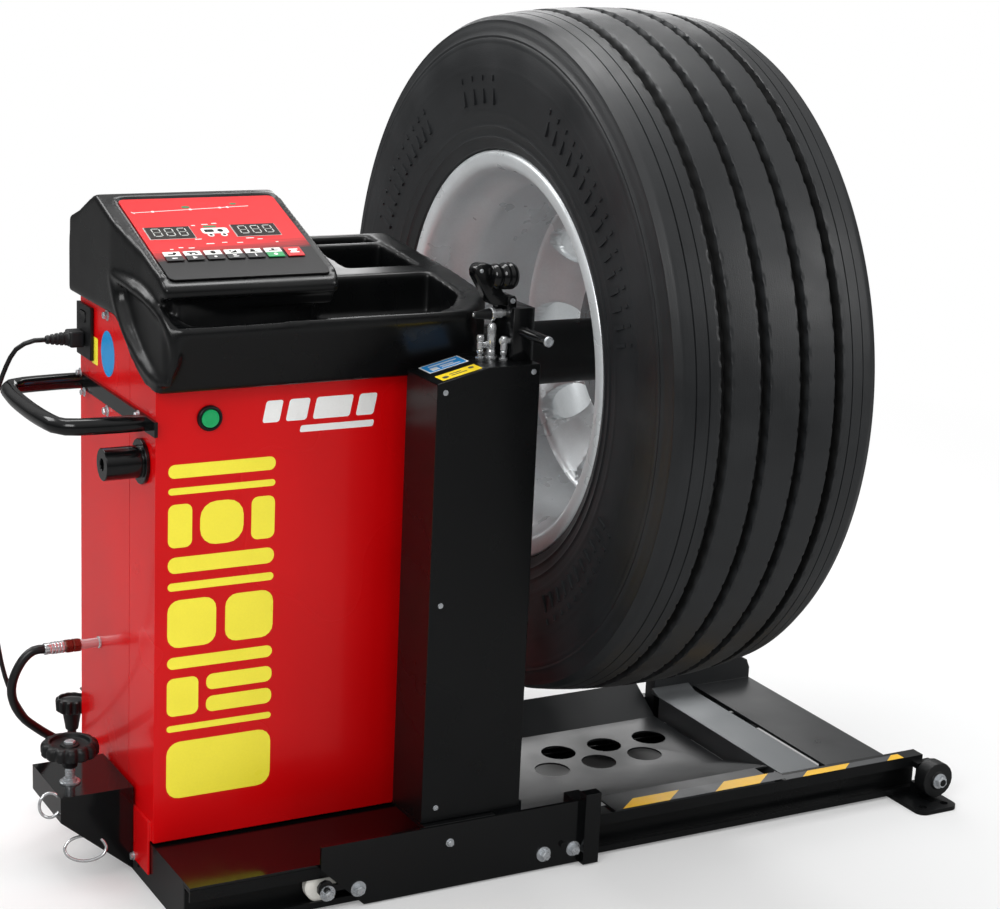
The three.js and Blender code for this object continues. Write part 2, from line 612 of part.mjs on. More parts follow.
// Console shell: sloping display hood on a lower shelf with a trough and two pockets
const lowProfile = [
  [shell.back, up(skirt.backDrop)],
  [shell.back, up(shelf.backTop)],
  [shelf.midY, up(shelf.midTop)],
  [shelf.wallY, up(shelf.wallTop)],
  [shelf.noseY, up(shelf.noseTop)],
  [shelf.lipY, up(shelf.lipTop)],
  [skirt.frontY, up(skirt.frontDrop)],
  [skirt.innerY, up(skirt.frontDrop)],
  [skirt.cornerY, up(skirt.cornerDrop)],
];
const hoodProfile = [
  [shell.back, up(shelf.wallTop)],
  [hood.backLow, up(hood.lowTop)],
  [hood.shoulder, up(hood.shoulderTop)],
  [hood.ridge, up(hood.ridgeTop)],
  [hood.brow, up(hood.browTop)],
  [hood.brow + shell.wall, up(hood.browTop - shell.wall * 2)],
  [hood.neck, up(hood.neckTop)],
  [hood.neck + shell.wall, up(shelf.noseTop - shell.wall)],
  [shelf.midY, up(shelf.lipTop)],
  [shell.back, up(shelf.lipTop)],
];
const wall = shell.wall;
const slopeRun = hood.ridge - hood.brow;
const slopeRise = hood.ridgeTop - hood.browTop;
function hoodTopAt(y) {
  return hood.browTop + ((y - hood.brow) * slopeRise) / slopeRun;
}
const lowHollow = [
  [shell.back - wall, 0],
  [shell.back - wall, up(shelf.backTop - wall)],
  [shelf.midY, up(shelf.midTop - wall)],
  [shelf.wallY, up(shelf.wallTop - wall)],
  [shelf.noseY, up(shelf.noseTop - wall)],
  [shelf.lipY + wall * 1.4, up(shelf.lipTop - wall)],
  [skirt.frontY + wall, up(skirt.frontDrop)],
  [skirt.frontY + wall, 0],
];
const hoodHollow = [
  [shell.back - wall, up(shelf.wallTop - wall * 2)],
  [hood.backLow - wall, up(hood.lowTop - wall)],
  [hood.shoulder - wall / 2, up(hood.shoulderTop - wall)],
  [hood.ridge, up(hood.ridgeTop - wall * 1.2)],
  [hood.neck + wall, up(hoodTopAt(hood.neck + wall) - wall * 1.2)],
  [hood.neck + wall * 2, up(shelf.noseTop - wall * 2)],
  [shelf.midY, up(shelf.lipTop - wall)],
  [shell.back - wall, up(shelf.lipTop - wall)],
];
const planView = [
  [shell.left, shell.back + bite],
  [shell.left, taper.startY],
  [shell.left + taper.inset, taper.endY],
  [shell.left + taper.inset, shelf.lipY - bite],
  [shell.right - taper.rightInset * 2, shelf.lipY - bite],
  [shell.right, taper.rightY],
  [shell.right, shell.back + bite],
];
const innerPlan = [
  [shell.left + wall, shell.back],
  [shell.left + wall, taper.startY],
  [shell.left + taper.inset + wall, taper.endY],
  [shell.left + taper.inset + wall, shelf.lipY],
  [shell.right - taper.rightInset * 2 - wall, shelf.lipY],
  [shell.right - wall, taper.rightY],
  [shell.right - wall, shell.back],
];
const troughPlan = [
  [trough.left, trough.front],
  [trough.cornerX, trough.front],
  [trough.right, trough.cornerY + wall * 5],
  [trough.right, trough.back],
  [trough.step, trough.back],
  [trough.step, trough.stepY],
  [trough.left, trough.stepY],
];
const troughShell = [
  [trough.left - wall, trough.front - wall],
  [trough.cornerX + wall / 2, trough.front - wall],
  [trough.right + wall, trough.cornerY + wall * 4],
  [trough.right + wall, trough.back + wall],
  [trough.step - wall, trough.back + wall],
  [trough.step - wall, trough.stepY + wall],
  [trough.left - wall, trough.stepY + wall],
];
const mouth = up(hood.ridgeTop);
const outer = join(
  prismX(lowProfile, shell.left, shell.right),
  prismX(hoodProfile, shell.left, hood.right),
).intersect(prismZ(planView, 0, mouth + bite));
const hollow = join(
  prismX(lowHollow, shell.left, shell.right),
  prismX(hoodHollow, shell.left, hood.right - wall),
).intersect(prismZ(innerPlan, 0, mouth + bite));
function cupAround(place) {
  return box(place.left - wall, place.right + wall, place.front - wall, place.back + wall, up(place.floor) - wall, mouth);
}
function well(place) {
  return box(place.left, place.right, place.front, place.back, up(place.floor), mouth);
}
const ledgeZ = up(cabinet.sideTop) + gap;
add('console_shell', cut(
  join(
    cut(outer, hollow),
    box(shell.left + wall / 2, cabinet.left + ledge.reach, ledge.front, ledge.back, ledgeZ, ledgeZ + ledge.depth),
    box(cabinet.right - ledge.reach, shell.right - wall / 2, ledge.front, ledge.back, ledgeZ, ledgeZ + ledge.depth),
    outer.intersect(join(prismZ(troughShell, up(trough.floor) - wall, mouth), cupAround(pocket), cupAround(rearPocket))),
  ),
  prismZ(troughPlan, up(trough.floor), mouth),
  well(pocket),
  well(rearPocket),
), 'moulded');

// Sloping control panel, its two displays and seven membrane keys
const slope = Math.atan2(slopeRise, slopeRun);
const slopeLength = Math.hypot(slopeRise, slopeRun);
// A flat block laid on the hood: x0 to x1, s0 to s1 up the slope from the brow, h0 to h1 above it.
function laid(x0, x1, s0, s1, h0, h1) {
  const geometry = new THREE.BoxGeometry(x1 - x0, s1 - s0, h1 - h0);
  geometry.translate((x0 + x1) / 2, (s0 + s1) / 2, (h0 + h1) / 2);
  geometry.rotateX(slope);
  geometry.translate(0, hood.brow, up(hood.browTop));
  return toSolid(geometry);
}
const panelNear = panel.nearEdge;
const panelFar = slopeLength - panel.farEdge;
add('control_panel', laid(panel.left, panel.right, panelNear, panelFar, gap, panel.thickness), 'red');
const faceHeight = panel.thickness + gap;
const displayFar = panelFar - display.fromTop;
const displayNear = displayFar - display.height;
const displayLeftEdge = panel.left + display.insetLeft;
const displayRightEdge = panel.right - display.insetRight;
add('display_left', laid(displayLeftEdge, displayLeftEdge + display.width, displayNear, displayFar,
  faceHeight, faceHeight + display.depth), 'dark');
add('display_right', laid(displayRightEdge - display.width, displayRightEdge, displayNear, displayFar,
  faceHeight, faceHeight + display.depth), 'dark');
for (let i = 0; i < keyCount; i += 1) {
  const left = panel.left + key.first / 2 + i * key.pitch;
  const near = panelNear + key.fromBottom;
  const finish = ['silver', 'silver', 'silver', 'silver', 'silver', 'green', 'red'][i];
  add(`key_${i + 1}`, laid(left, left + key.width, near, near + key.height, faceHeight + key.travel,
    faceHeight + key.travel + key.depth), finish);
}

// Mains inlet panel, with the socket standing out of it and the rocker switch above
const wallX = cabinet.left - gap;
add('inlet_panel', cut(
  box(wallX - inlet.depth, wallX, inlet.front, inlet.back, up(inlet.bottom), up(inlet.top)),
  box(wallX - inlet.depth - bite, wallX + bite, rocker.y - rocker.width / 2 - gap, rocker.y + rocker.width / 2 + gap,
    up(rocker.z) - rocker.height / 2 - gap, up(rocker.z) + rocker.height / 2 + gap),
), 'black');
add('rocker_switch', prismY([
  [wallX - rocker.back, up(rocker.z) - rocker.height / 2],
  [wallX - rocker.back, up(rocker.z) + rocker.height / 2],
  [wallX - inlet.depth - rocker.depth / 3, up(rocker.z) + rocker.height / 2],
  [wallX - inlet.depth - gap, up(rocker.z)],
  [wallX - inlet.depth - rocker.depth / 3, up(rocker.z) - rocker.height / 2],
], rocker.y - rocker.width / 2, rocker.y + rocker.width / 2), 'black');

// Lead connector pushed on the inlet: body and stepped strain relief
const connectorEnd = wallX - inlet.depth - gap - socket.depth;
const reliefEnd = connectorEnd - socket.plugLength;
add('lead_connector', join(
  box(connectorEnd, wallX - inlet.depth - gap, inlet.socketY - socket.width / 2, inlet.socketY + socket.width / 2,
    up(inlet.socketZ) - socket.height / 2, up(inlet.socketZ) + socket.height / 2),
  roundBar('x', lead.radius * 1.8, reliefEnd, connectorEnd + bite, inlet.socketY, up(inlet.socketZ), smallSides,
    socket.plugGrip / 2),
), 'black');

// Mains lead: one free stretch to the floor behind the cabinet, then the spare length in a neat coil
const coilStart = [coil.x - coil.radius, coil.y - gap * 2, coil.base];
add('mains_lead', sweep(curve([
  [reliefEnd - gap, inlet.socketY, up(inlet.socketZ)],
  [reliefEnd - lead.straight, inlet.socketY, up(inlet.socketZ)],
  ...leadRoute,
  [coilStart[0], coilStart[1] - lead.straight, coil.base],
  coilStart,
]), lead.radius, lead.sides, lead.steps), 'rubber');

class CoilPath extends THREE.Curve {
  getPoint(share, target = new THREE.Vector3()) {
    const angle = Math.PI - share * coil.turns * 2 * Math.PI;
    const turn = share * coil.turns;
    const radius = coil.radius + coil.drift * Math.sin(turn * 2) * Math.cos(angle / 2) ** 2;
    const hop = coil.hop * THREE.MathUtils.smoothstep(turn, coil.turns - 0.5, coil.turns);
    return target.set(
      coil.x + radius * Math.cos(angle),
      coil.y + radius * Math.sin(angle),
      coil.base + coil.rise * turn + hop,
    );
  }
}
add('mains_coil', sweep(new CoilPath(), lead.radius, coil.sides, coil.turns * coil.steps), 'rubber');

// Mains plug lying across the top of the coil
const plugX = coil.x - coil.radius;
const plugZ = coil.base + coil.rise * coil.turns + coil.hop;
add('mains_plug', join(
  roundBar('y', plug.body / 2, coil.y + gap * 2, coil.y + plug.length, plugX, plugZ, smallSides, plug.body),
  roundBar('y', plug.pin, coil.y + plug.length - bite, coil.y + plug.length + plug.pinLength, plugX - plug.pinPitch, plugZ,
    smallSides),
  roundBar('y', plug.pin, coil.y + plug.length - bite, coil.y + plug.length + plug.pinLength, plugX + plug.pinPitch, plugZ,
    smallSides),
), 'black');

// Grab handle: a flat bar on the cabinet's side with a bent tube welded to it
const barX = wallX - handle.barDepth;
const handleX = wallX - handle.reach;
const handlePath = curve([
  [barX + bite, handle.front, up(handle.z)],
  [barX - handle.bend, handle.front, up(handle.z)],
  [handleX + handle.bend * 0.3, handle.front + handle.bend * 0.3, up(handle.z)],
  [handleX, handle.front + handle.bend * 1.4, up(handle.z)],
  [handleX, handle.back - handle.bend * 1.4, up(handle.z)],
  [handleX + handle.bend * 0.3, handle.back - handle.bend * 0.3, up(handle.z)],
  [barX - handle.bend, handle.back, up(handle.z)],
  [barX + bite, handle.back, up(handle.z)],
]);
add('grab_handle', join(
  box(barX, wallX, handle.barFront, handle.barBack, up(handle.z) - handle.barHeight / 2, up(handle.z) + handle.barHeight / 2),
  sweep(handlePath, handle.tube, smallSides, handle.steps),
), 'black');

// Storage peg for cones
add('storage_peg', cut(
  join(
    roundBar('x', peg.flangeRadius, wallX - peg.flangeDepth, wallX, peg.y, up(peg.z)),
    roundBar('x', peg.radius, wallX - peg.length, wallX - peg.flangeDepth + bite, peg.y, up(peg.z)),
  ),
  roundBar('x', peg.socketRadius, wallX - peg.length - bite, wallX - peg.length / 2, peg.y, up(peg.z), smallSides),
), 'black');

// Side bracket: a folded box open below, with a slanted lower edge
const bracketRight = cabinet.left - flange.depth - gap;
const bracketFace = [
  [bracket.left, bracket.top],
  [bracket.left, bracket.leftBottom],
  [bracketRight, bracket.bottom],
  [bracketRight, bracket.top],
];
add('side_bracket', cut(
  join(
    box(bracket.left, bracketRight, bracket.front, bracket.back, bracket.top - bracket.sheet, bracket.top),
    prismY(bracketFace, bracket.front, bracket.front + bracket.sheet),
    box(bracket.left, bracket.left + bracket.sheet, bracket.front, bracket.back, bracket.leftBottom, bracket.top),
    box(bracketRight - bracket.sheet, bracketRight, bracket.front, bracket.back, bracket.top - bracket.hang, bracket.top),
    box(bracket.left, bracket.left + bracket.lip, bracket.back - bracket.sheet, bracket.back, bracket.leftBottom,
      bracket.top),
  ),
  roundBar('z', clamp.screw + turnGap, bracket.leftBottom, bracket.top + bite, clamp.x, clamp.y, smallSides),
), 'black');

// A lobed hand grip: a round body with round lobes around its edge
function lobed(count, radius, bump, from, to, x, y) {
  const grips = [];
  for (let i = 0; i < count; i += 1) {
    const angle = (2 * Math.PI * i) / count;
    grips.push(roundBar('z', bump, from, to, x + radius * Math.cos(angle), y + radius * Math.sin(angle), smallSides));
  }
  return join(roundBar('z', radius + bump / 2, from, to, x, y, roundSides), ...grips);
}

// Front clamp screw with its handwheel
add('front_clamp', join(
  roundBar('z', clamp.screw, clamp.screwBottom, clampHub.top, clamp.x, clamp.y, smallSides),
  roundBar('z', clamp.pad, clamp.screwBottom, clamp.screwBottom + clamp.padDepth, clamp.x, clamp.y, smallSides),
  roundBar('z', clampHub.collar, bracket.top + gap, bracket.top + clampHub.collarDepth, clamp.x, clamp.y, smallSides),
  roundBar('z', clampHub.radius, clampHub.bottom, clamp.wheelZ, clamp.x, clamp.y, smallSides),
  lobed(lobes, clamp.wheelRadius - lobe.radius, lobe.radius, clamp.wheelZ - clamp.wheelDepth / 2,
    clamp.wheelZ + clamp.wheelDepth / 2, clamp.x, clamp.y),
), 'black');

// Rear clamp screw on the base's tab, with a smaller lobed knob
add('rear_clamp', join(
  roundBar('z', rearClamp.screw, 0, rearClamp.bottom + bite, rearClamp.x, rearClamp.y, smallSides),
  roundBar('z', rearClamp.pad, 0, rearClamp.padDepth, rearClamp.x, rearClamp.y, smallSides),
  roundBar('z', rearClamp.neck / 2, rearClamp.neckBottom, rearClamp.bottom + bite, rearClamp.x, rearClamp.y, smallSides,
    rearClamp.neck),
  lobed(knobLobes, rearClamp.radius - lobe.inset, lobe.inset, rearClamp.bottom, rearClamp.top, rearClamp.x, rearClamp.y),
), 'black');

// Air inlet coupling and the hose that loops down to the cabinet's side
const couplerEnd = wallX - coupler.length;
const nutEnd = wallX - coupler.nutStart;
add('air_coupling', join(
  roundBar('x', coupler.seat, wallX - coupler.seatDepth, wallX, coupler.y, coupler.z, smallSides),
  roundBar('x', coupler.radius, couplerEnd, wallX - coupler.seatDepth + bite, coupler.y, coupler.z, smallSides),
  roundBar('x', coupler.nut, nutEnd - coupler.nutLength, nutEnd, coupler.y, coupler.z, smallSides),
  roundBar('x', coupler.ferrule, couplerEnd, nutEnd - coupler.nutLength + bite, coupler.y, coupler.z, smallSides),
), 'steel');
add('air_hose', sweep(curve([
  [couplerEnd - gap, coupler.y, coupler.z],
  [couplerEnd - hose.straight, coupler.y, coupler.z],
  ...hoseRoute,
  [wallX - hose.straight, hose.entryY, hose.entryZ],
  [wallX - gap, hose.entryY, hose.entryZ],
]), hose.radius, hose.sides, hose.steps), 'rubber');

// Carriage plate: runs along the front rail, bridges over it and seats the column
const plateProfile = [
  [plate.left, plate.top],
  [plate.left, plate.cornerZ],
  [plate.left + plate.chamferX, plate.bottom],
  [plate.right - plate.riseX, plate.bottom],
  [plate.right, plate.bottom + gap * 3],
  [plate.right, plate.top],
];
function axleAt(x) {
  return join(
    roundBar('y', guideRoller.axle, plate.front - guideRoller.axle, guideRoller.back, x, guideRoller.z, smallSides),
    roundBar('y', guideRoller.boss, plate.front, plate.back, x, guideRoller.z, smallSides),
  );
}
add('carriage_plate', join(
  prismY(plateProfile, plate.front, plate.back),
  box(guideRoller.leftX, plate.left + plate.chamferX, plate.front, plate.back, guideRoller.z - guideRoller.axle,
    guideRoller.z + guideRoller.axle),
  axleAt(guideRoller.leftX),
  axleAt(guideRoller.rightX),
  box(column.left, seat.right, plate.back - bite, column.back, seat.bottom, column.bottom - gap),
  box(plate.right - bite, endFlange.right, endFlange.front, plate.back, plate.bottom, endFlange.top),
  box(plate.right - bite, endFlange.right, plate.back - bite, bridge.back, bridge.bottom, bridge.top),
  box(plate.right - bite, endFlange.right, bridge.legFront, bridge.back, bridge.legBottom, bridge.top),
), 'black');

// Guide rollers in the front rail's groove
function addGuideRoller(name, x, finish) {
  add(name, cut(
    roundBar('y', guideRoller.radius, rail.front + rail.wall + gap, guideRoller.back, x, guideRoller.z),
    roundBar('y', guideRoller.axle + turnGap, plate.front, rail.back, x, guideRoller.z, smallSides),
  ), finish);
}
addGuideRoller('guide_roller_left', guideRoller.leftX, 'nylon');
addGuideRoller('guide_roller_right', guideRoller.rightX, 'nylon');

// Column: folded sheet box, open below, slotted on its right side for the lifting arm
const columnOuter = [
  [column.left, column.bottom],
  [column.right, column.bottom],
  [column.right, up(column.top)],
  [column.shoulderX, up(column.top)],
  [column.left, up(column.shoulderZ)],
];
const columnInner = [
  [column.left + column.wall, column.bottom - bite],
  [column.right - column.wall, column.bottom - bite],
  [column.right - column.wall, up(column.top) - column.wall],
  [column.shoulderX, up(column.top) - column.wall],
  [column.left + column.wall, up(column.shoulderZ) - column.wall],
];
add('column', cut(
  prismY(columnOuter, column.front, column.back),
  prismY(columnInner, column.front + column.wall, column.back - column.wall),
  box(column.right - column.wall - bite, column.right + bite, mast.front - slot.margin, mast.back + slot.margin,
    column.bottom - bite, slot.top),
), 'black');

// Deck: right-hand plate, rear stop and the two long beams under the tray
const stopTop = stop.top;
const stopProfile = [
  [stop.left, beam.bottom],
  [deck.right, beam.bottom],
  [deck.right, stopTop - stop.corner],
  [deck.right - stop.corner * 0.3, stopTop - stop.corner * 0.3],
  [deck.right - stop.corner, stopTop],
  [stop.left, stopTop],
];
add('carriage_deck', join(
  box(deck.left, deck.right, deck.front, deck.back + bite, deck.bottom, deck.top),
  prismY(stopProfile, deck.back, stop.back),
  box(beam.left, deck.right, beam.frontY, beam.frontBack, beam.bottom, beam.frontTop),
  box(deck.left, deck.right, beam.frontY, beam.frontBack, beam.frontTop - bite, deck.bottom + bite),
  box(beam.left, deck.right, beam.rearY, beam.rearBack, beam.bottom, beam.rearTop),
  box(deck.right - beam.rib, deck.right, beam.frontY, deck.back + bite, deck.bottom - beam.tie, deck.bottom + bite),
  box(deck.left, deck.left + beam.tie, rearRail.front, rearRail.back, rearRail.top + gap, deck.bottom + bite),
), 'black');

// Cross beam: the bare steel strip beside the tray
const beamTop = deck.top;
add('cross_beam', join(
  box(crossBeam.left, crossBeam.right, deck.front, deck.back - gap, beamTop - crossBeam.sheet, beamTop),
  box(crossBeam.left, crossBeam.left + crossBeam.sheet, crossBeam.webFront, deck.back - crossBeam.kickLength,
    crossBeam.webBottom, beamTop - bite),
  box(crossBeam.right - crossBeam.sheet, crossBeam.right, crossBeam.webFront, deck.back - crossBeam.kickLength,
    crossBeam.webBottom, beamTop - bite),
  prismX([
    [deck.back - crossBeam.kickLength, beamTop - bite],
    [deck.back - gap, beamTop - bite],
    [deck.back - gap, beamTop + crossBeam.kick],
  ], crossBeam.left, crossBeam.right),
), 'grey');

// Lift tray: a folded cradle with six holes, its arm and the mast inside the column
const t = tray.sheet;
const cradle = [
  [tray.frontTop, tray.frontRise + t],
  [tray.frontFold, tray.flat],
  [tray.rearFold, tray.flat],
  [tray.rearTop, tray.rearRise],
  [tray.rearTop, tray.rearRise - t * 1.3],
  [tray.rearFold + t / 2, tray.flat - t],
  [tray.frontFold - t / 2, tray.flat - t],
  [tray.frontTop, tray.frontRise],
];
const trayHoles = [];
for (let i = 0; i < 3; i += 1) {
  const x = trayHole.firstX + i * trayHole.pitch;
  trayHoles.push(roundBar('z', trayHole.radius, tray.flat - t * 2, tray.flat + t, x, trayHole.rearY));
  trayHoles.push(roundBar('z', trayHole.radius, tray.flat - t * 2, tray.flat + t, x + trayHole.shift, trayHole.frontY));
}
add('lift_tray', cut(
  join(
    prismX(cradle, tray.left, tray.right),
    box(lip.left, lip.right, lip.front, tray.frontTop + bite, tray.frontRise, tray.frontRise + t),
    box(mast.left, tray.left + slot.margin, mast.front, mast.back, mast.armBottom, mast.armTop),
    box(mast.left, mast.right, mast.front, mast.back, mast.armBottom, mast.top),
    box(mast.headLeft, mast.right, mast.front, mast.back, mast.top - mast.headHeight, mast.top),
  ),
  ...trayHoles,
), 'black');

// Lifting cylinder and its rod
add('lift_cylinder', cut(
  roundBar('z', cylinder.radius, column.bottom, cylinder.top, cylinder.x, cylinder.y),
  roundBar('z', cylinder.bore, cylinder.boreBottom, cylinder.top + bite, cylinder.x, cylinder.y),
), 'silver');
add('lift_rod', roundBar('z', rod.radius, rod.bottom, mast.top - mast.headHeight - gap, cylinder.x, cylinder.y), 'steel');

// Valve block with its pin and fittings, standing on the column
const valveBottom = up(column.top) + gap;
function leverEar(y) {
  return box(lever.pivotX - lever.earWidth / 2, lever.pivotX + lever.earWidth / 2, y, y + lever.ear, up(valve.top) - bite,
    up(lever.earTop));
}
add('valve_block', join(
  cut(
    box(valve.left, valve.right, valve.front, valve.back, valveBottom, up(valve.top)),
    roundBar('x', plunger.stem + gap, valve.left - bite, valve.left + plunger.bore, plunger.y, up(plunger.z), smallSides),
  ),
  leverEar(lever.front - gap - lever.ear),
  leverEar(lever.back + gap),
  roundBar('y', lever.pin, lever.front - lever.ear, lever.back + lever.ear, lever.pivotX, up(lever.pivotZ), smallSides),
  roundBar('z', fitting.radius, valveBottom, up(fitting.pinTop), fitting.pinX, fitting.y, smallSides),
  roundBar('z', fitting.sideRadius, valveBottom + fitting.radius, up(fitting.sideTop), fitting.sideX, fitting.y, smallSides),
  roundBar('z', fitting.sideRadius, valveBottom + fitting.radius, up(fitting.sideTop), fitting.nearX, fitting.nearY, smallSides),
  roundBar('x', fitting.sideRadius / 2, fitting.sideX, valve.left + bite, fitting.y, up(fitting.sideTop) - fitting.radius * 2,
    smallSides),
  box(fitting.nearX, valve.left + bite, fitting.nearY - fitting.sideRadius / 2, fitting.nearY + fitting.sideRadius / 2,
    up(fitting.sideTop) - fitting.radius * 3, up(fitting.sideTop) - fitting.radius),
), 'black');

// Lift lever: a flat arm with a round grooved knob, hinged on the valve block
const leverRun = lever.tipX - lever.pivotX;
const leverRise = lever.tipZ - lever.pivotZ;
const leverLength = Math.hypot(leverRun, leverRise);
const halfSide = [(-leverRise / leverLength) * lever.width / 2, (leverRun / leverLength) * lever.width / 2];
add('lift_lever', cut(join(
  prismY([
    [lever.pivotX + halfSide[0], up(lever.pivotZ) + halfSide[1]],
    [lever.tipX + halfSide[0], up(lever.tipZ) + halfSide[1]],
    [lever.tipX - halfSide[0], up(lever.tipZ) - halfSide[1]],
    [lever.pivotX - halfSide[0], up(lever.pivotZ) - halfSide[1]],
  ].map(([x, z]) => [x, Math.max(z, up(valve.top) + gap * 2)]), lever.front, lever.back),
  roundBar('x', lever.knobRadius, lever.knobLeft, lever.knobRight, lever.front, up(lever.tipZ) - lever.pin * 2),
), roundBar('y', lever.pin + gap, lever.front - bite, lever.back + bite, lever.pivotX, up(lever.pivotZ), smallSides)), 'black');

// Manual plunger on the valve block's left face
add('valve_plunger', join(
  roundBar('x', plunger.radius, plunger.left, valve.left - gap - plunger.travel, plunger.y, up(plunger.z), smallSides),
  roundBar('x', plunger.stem, plunger.left + bite, valve.left + plunger.bore - plunger.travel - bite, plunger.y, up(plunger.z),
    smallSides),
  roundBar('x', plunger.collar, plunger.collarX, plunger.collarX + plunger.collarWidth, plunger.y, up(plunger.z), smallSides),
), 'steel');

// Push handle for moving the carriage
add('push_handle', join(
  roundBar('y', pushHandle.radius, pushHandle.tip, valve.front - gap, pushHandle.x, up(pushHandle.z), smallSides),
  roundBar('y', pushHandle.cap, pushHandle.tip - pushHandle.capDepth, pushHandle.tip + bite, pushHandle.x, up(pushHandle.z),
    smallSides),
), 'black');

// The origin is the middle of the machine's footprint, measured without the mains lead.
const leadParts = ['lead_connector', 'mains_lead', 'mains_coil', 'mains_plug'];
const footprint = new THREE.Box3();
group.children
  .filter((mesh) => !leadParts.includes(mesh.name))
  .forEach((mesh) => footprint.expandByObject(mesh));
const middle = footprint.getCenter(new THREE.Vector3());
group.children.forEach((mesh) => mesh.geometry.translate(-middle.x, -middle.y, 0));

export default group;
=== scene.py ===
import math

import bmesh
import bpy
from mathutils import Matrix, Vector


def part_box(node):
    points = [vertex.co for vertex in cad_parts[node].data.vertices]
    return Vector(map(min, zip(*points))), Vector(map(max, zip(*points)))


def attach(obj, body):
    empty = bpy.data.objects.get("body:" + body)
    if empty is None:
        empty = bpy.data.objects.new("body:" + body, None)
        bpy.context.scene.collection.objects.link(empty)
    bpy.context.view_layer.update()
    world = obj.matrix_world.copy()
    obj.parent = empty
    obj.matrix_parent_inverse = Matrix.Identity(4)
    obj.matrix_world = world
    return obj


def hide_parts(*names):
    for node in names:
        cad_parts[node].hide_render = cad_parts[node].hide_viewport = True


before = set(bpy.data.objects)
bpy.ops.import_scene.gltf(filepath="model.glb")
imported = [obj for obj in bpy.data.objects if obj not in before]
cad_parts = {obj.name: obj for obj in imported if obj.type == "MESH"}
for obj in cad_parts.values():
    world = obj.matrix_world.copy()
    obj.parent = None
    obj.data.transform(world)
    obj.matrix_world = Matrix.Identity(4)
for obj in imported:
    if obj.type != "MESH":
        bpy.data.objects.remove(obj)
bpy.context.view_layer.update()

# Camera
# It stands at the front left, a little above the console, and looks down at the wheel's hub.
# Its place, turn and lens come from the machine's own straight edges in the photograph.
camera_place = Vector((-1.61794, -2.96209, 1.46762))
camera_right = Vector((0.87844785, -0.47578809, 0.04421612))
camera_down = Vector((-0.07965998, -0.2370557, -0.9682246))
camera_ahead = Vector((0.47115142, 0.84701257, -0.24614234))
camera_data = bpy.data.cameras.new("camera")
camera_data.sensor_width = 36.0
camera_data.lens = 79.4455
camera_data.shift_y = -0.01867
camera_data.clip_end = 60.0


def placed(name, data):
    """A new object in the scene for the given mesh, camera or lamp."""
    made = bpy.data.objects.new(name, data)
    bpy.context.scene.collection.objects.link(made)
    return made


camera = placed("camera", camera_data)
camera.matrix_world = Matrix((
    (camera_right.x, -camera_down.x, -camera_ahead.x, camera_place.x),
    (camera_right.y, -camera_down.y, -camera_ahead.y, camera_place.y),
    (camera_right.z, -camera_down.z, -camera_ahead.z, camera_place.z),
    (0.0, 0.0, 0.0, 1.0),
))
bpy.context.scene.camera = camera
bpy.context.scene.view_settings.view_transform = "Standard"


# Studio: pale floor and white backdrop
# A seamless pale floor, lit by large soft lamps. The floor runs out into the white of the backdrop,
# which the camera and glass see at full white and the lamps' light doesn't. Metal sees a room darker in front
# and lighter above.
def tint(code):
    """A colour written as sRGB hex, turned linear."""
    parts = [int(code[i:i + 2], 16) / 255 for i in (0, 2, 4)]
    return (*[p / 12.92 if p <= 0.04045 else ((p + 0.055) / 1.055) ** 2.4 for p in parts], 1.0)


def put(tree, kind, feeds=None, **settings):
    """Adds one node. feeds maps an input's name or number to a value or to another node's output."""
    made = tree.nodes.new(kind)
    for name, value in settings.items():
        setattr(made, name, value)
    for socket, value in (feeds or {}).items():
        if isinstance(value, bpy.types.NodeSocket):
            tree.links.new(value, made.inputs[socket])
        else:
            made.inputs[socket].default_value = value
    return made


def bare_material(name):
    """A new material whose node tree is emptied."""
    made = bpy.data.materials.new(name)
    made.use_nodes = True
    made.node_tree.nodes.clear()
    return made


backdrop_white = tint("FFFFFF")
room_light = 0.62
room_front = 0.08
room_top = 0.6
world = bpy.data.worlds.new("studio")
bpy.context.scene.world = world
world.use_nodes = True
sky = world.node_tree
sky.nodes.clear()
ray = put(sky, "ShaderNodeLightPath")
direction = put(sky, "ShaderNodeTexCoord")
parts = put(sky, "ShaderNodeSeparateXYZ", {0: direction.outputs["Generated"]})
upward = put(sky, "ShaderNodeMapRange", {0: parts.outputs["Z"], 1: 0.05, 2: 0.75, 3: room_front, 4: room_top})
seen = put(sky, "ShaderNodeMath", {0: ray.outputs["Is Camera Ray"], 1: ray.outputs["Is Transmission Ray"]},
           operation="MAXIMUM")
lit = put(sky, "ShaderNodeMix", {0: ray.outputs["Is Glossy Ray"], 2: room_light, 3: upward.outputs[0]})
level = put(sky, "ShaderNodeMix", {0: seen.outputs[0], 2: lit.outputs[0], 3: 1.0})
glow = put(sky, "ShaderNodeBackground", {0: backdrop_white, 1: level.outputs[0]})
put(sky, "ShaderNodeOutputWorld", {0: glow.outputs[0]})

floor_reach = 9.0
floor_clear = 1.1
floor_far = 3.4
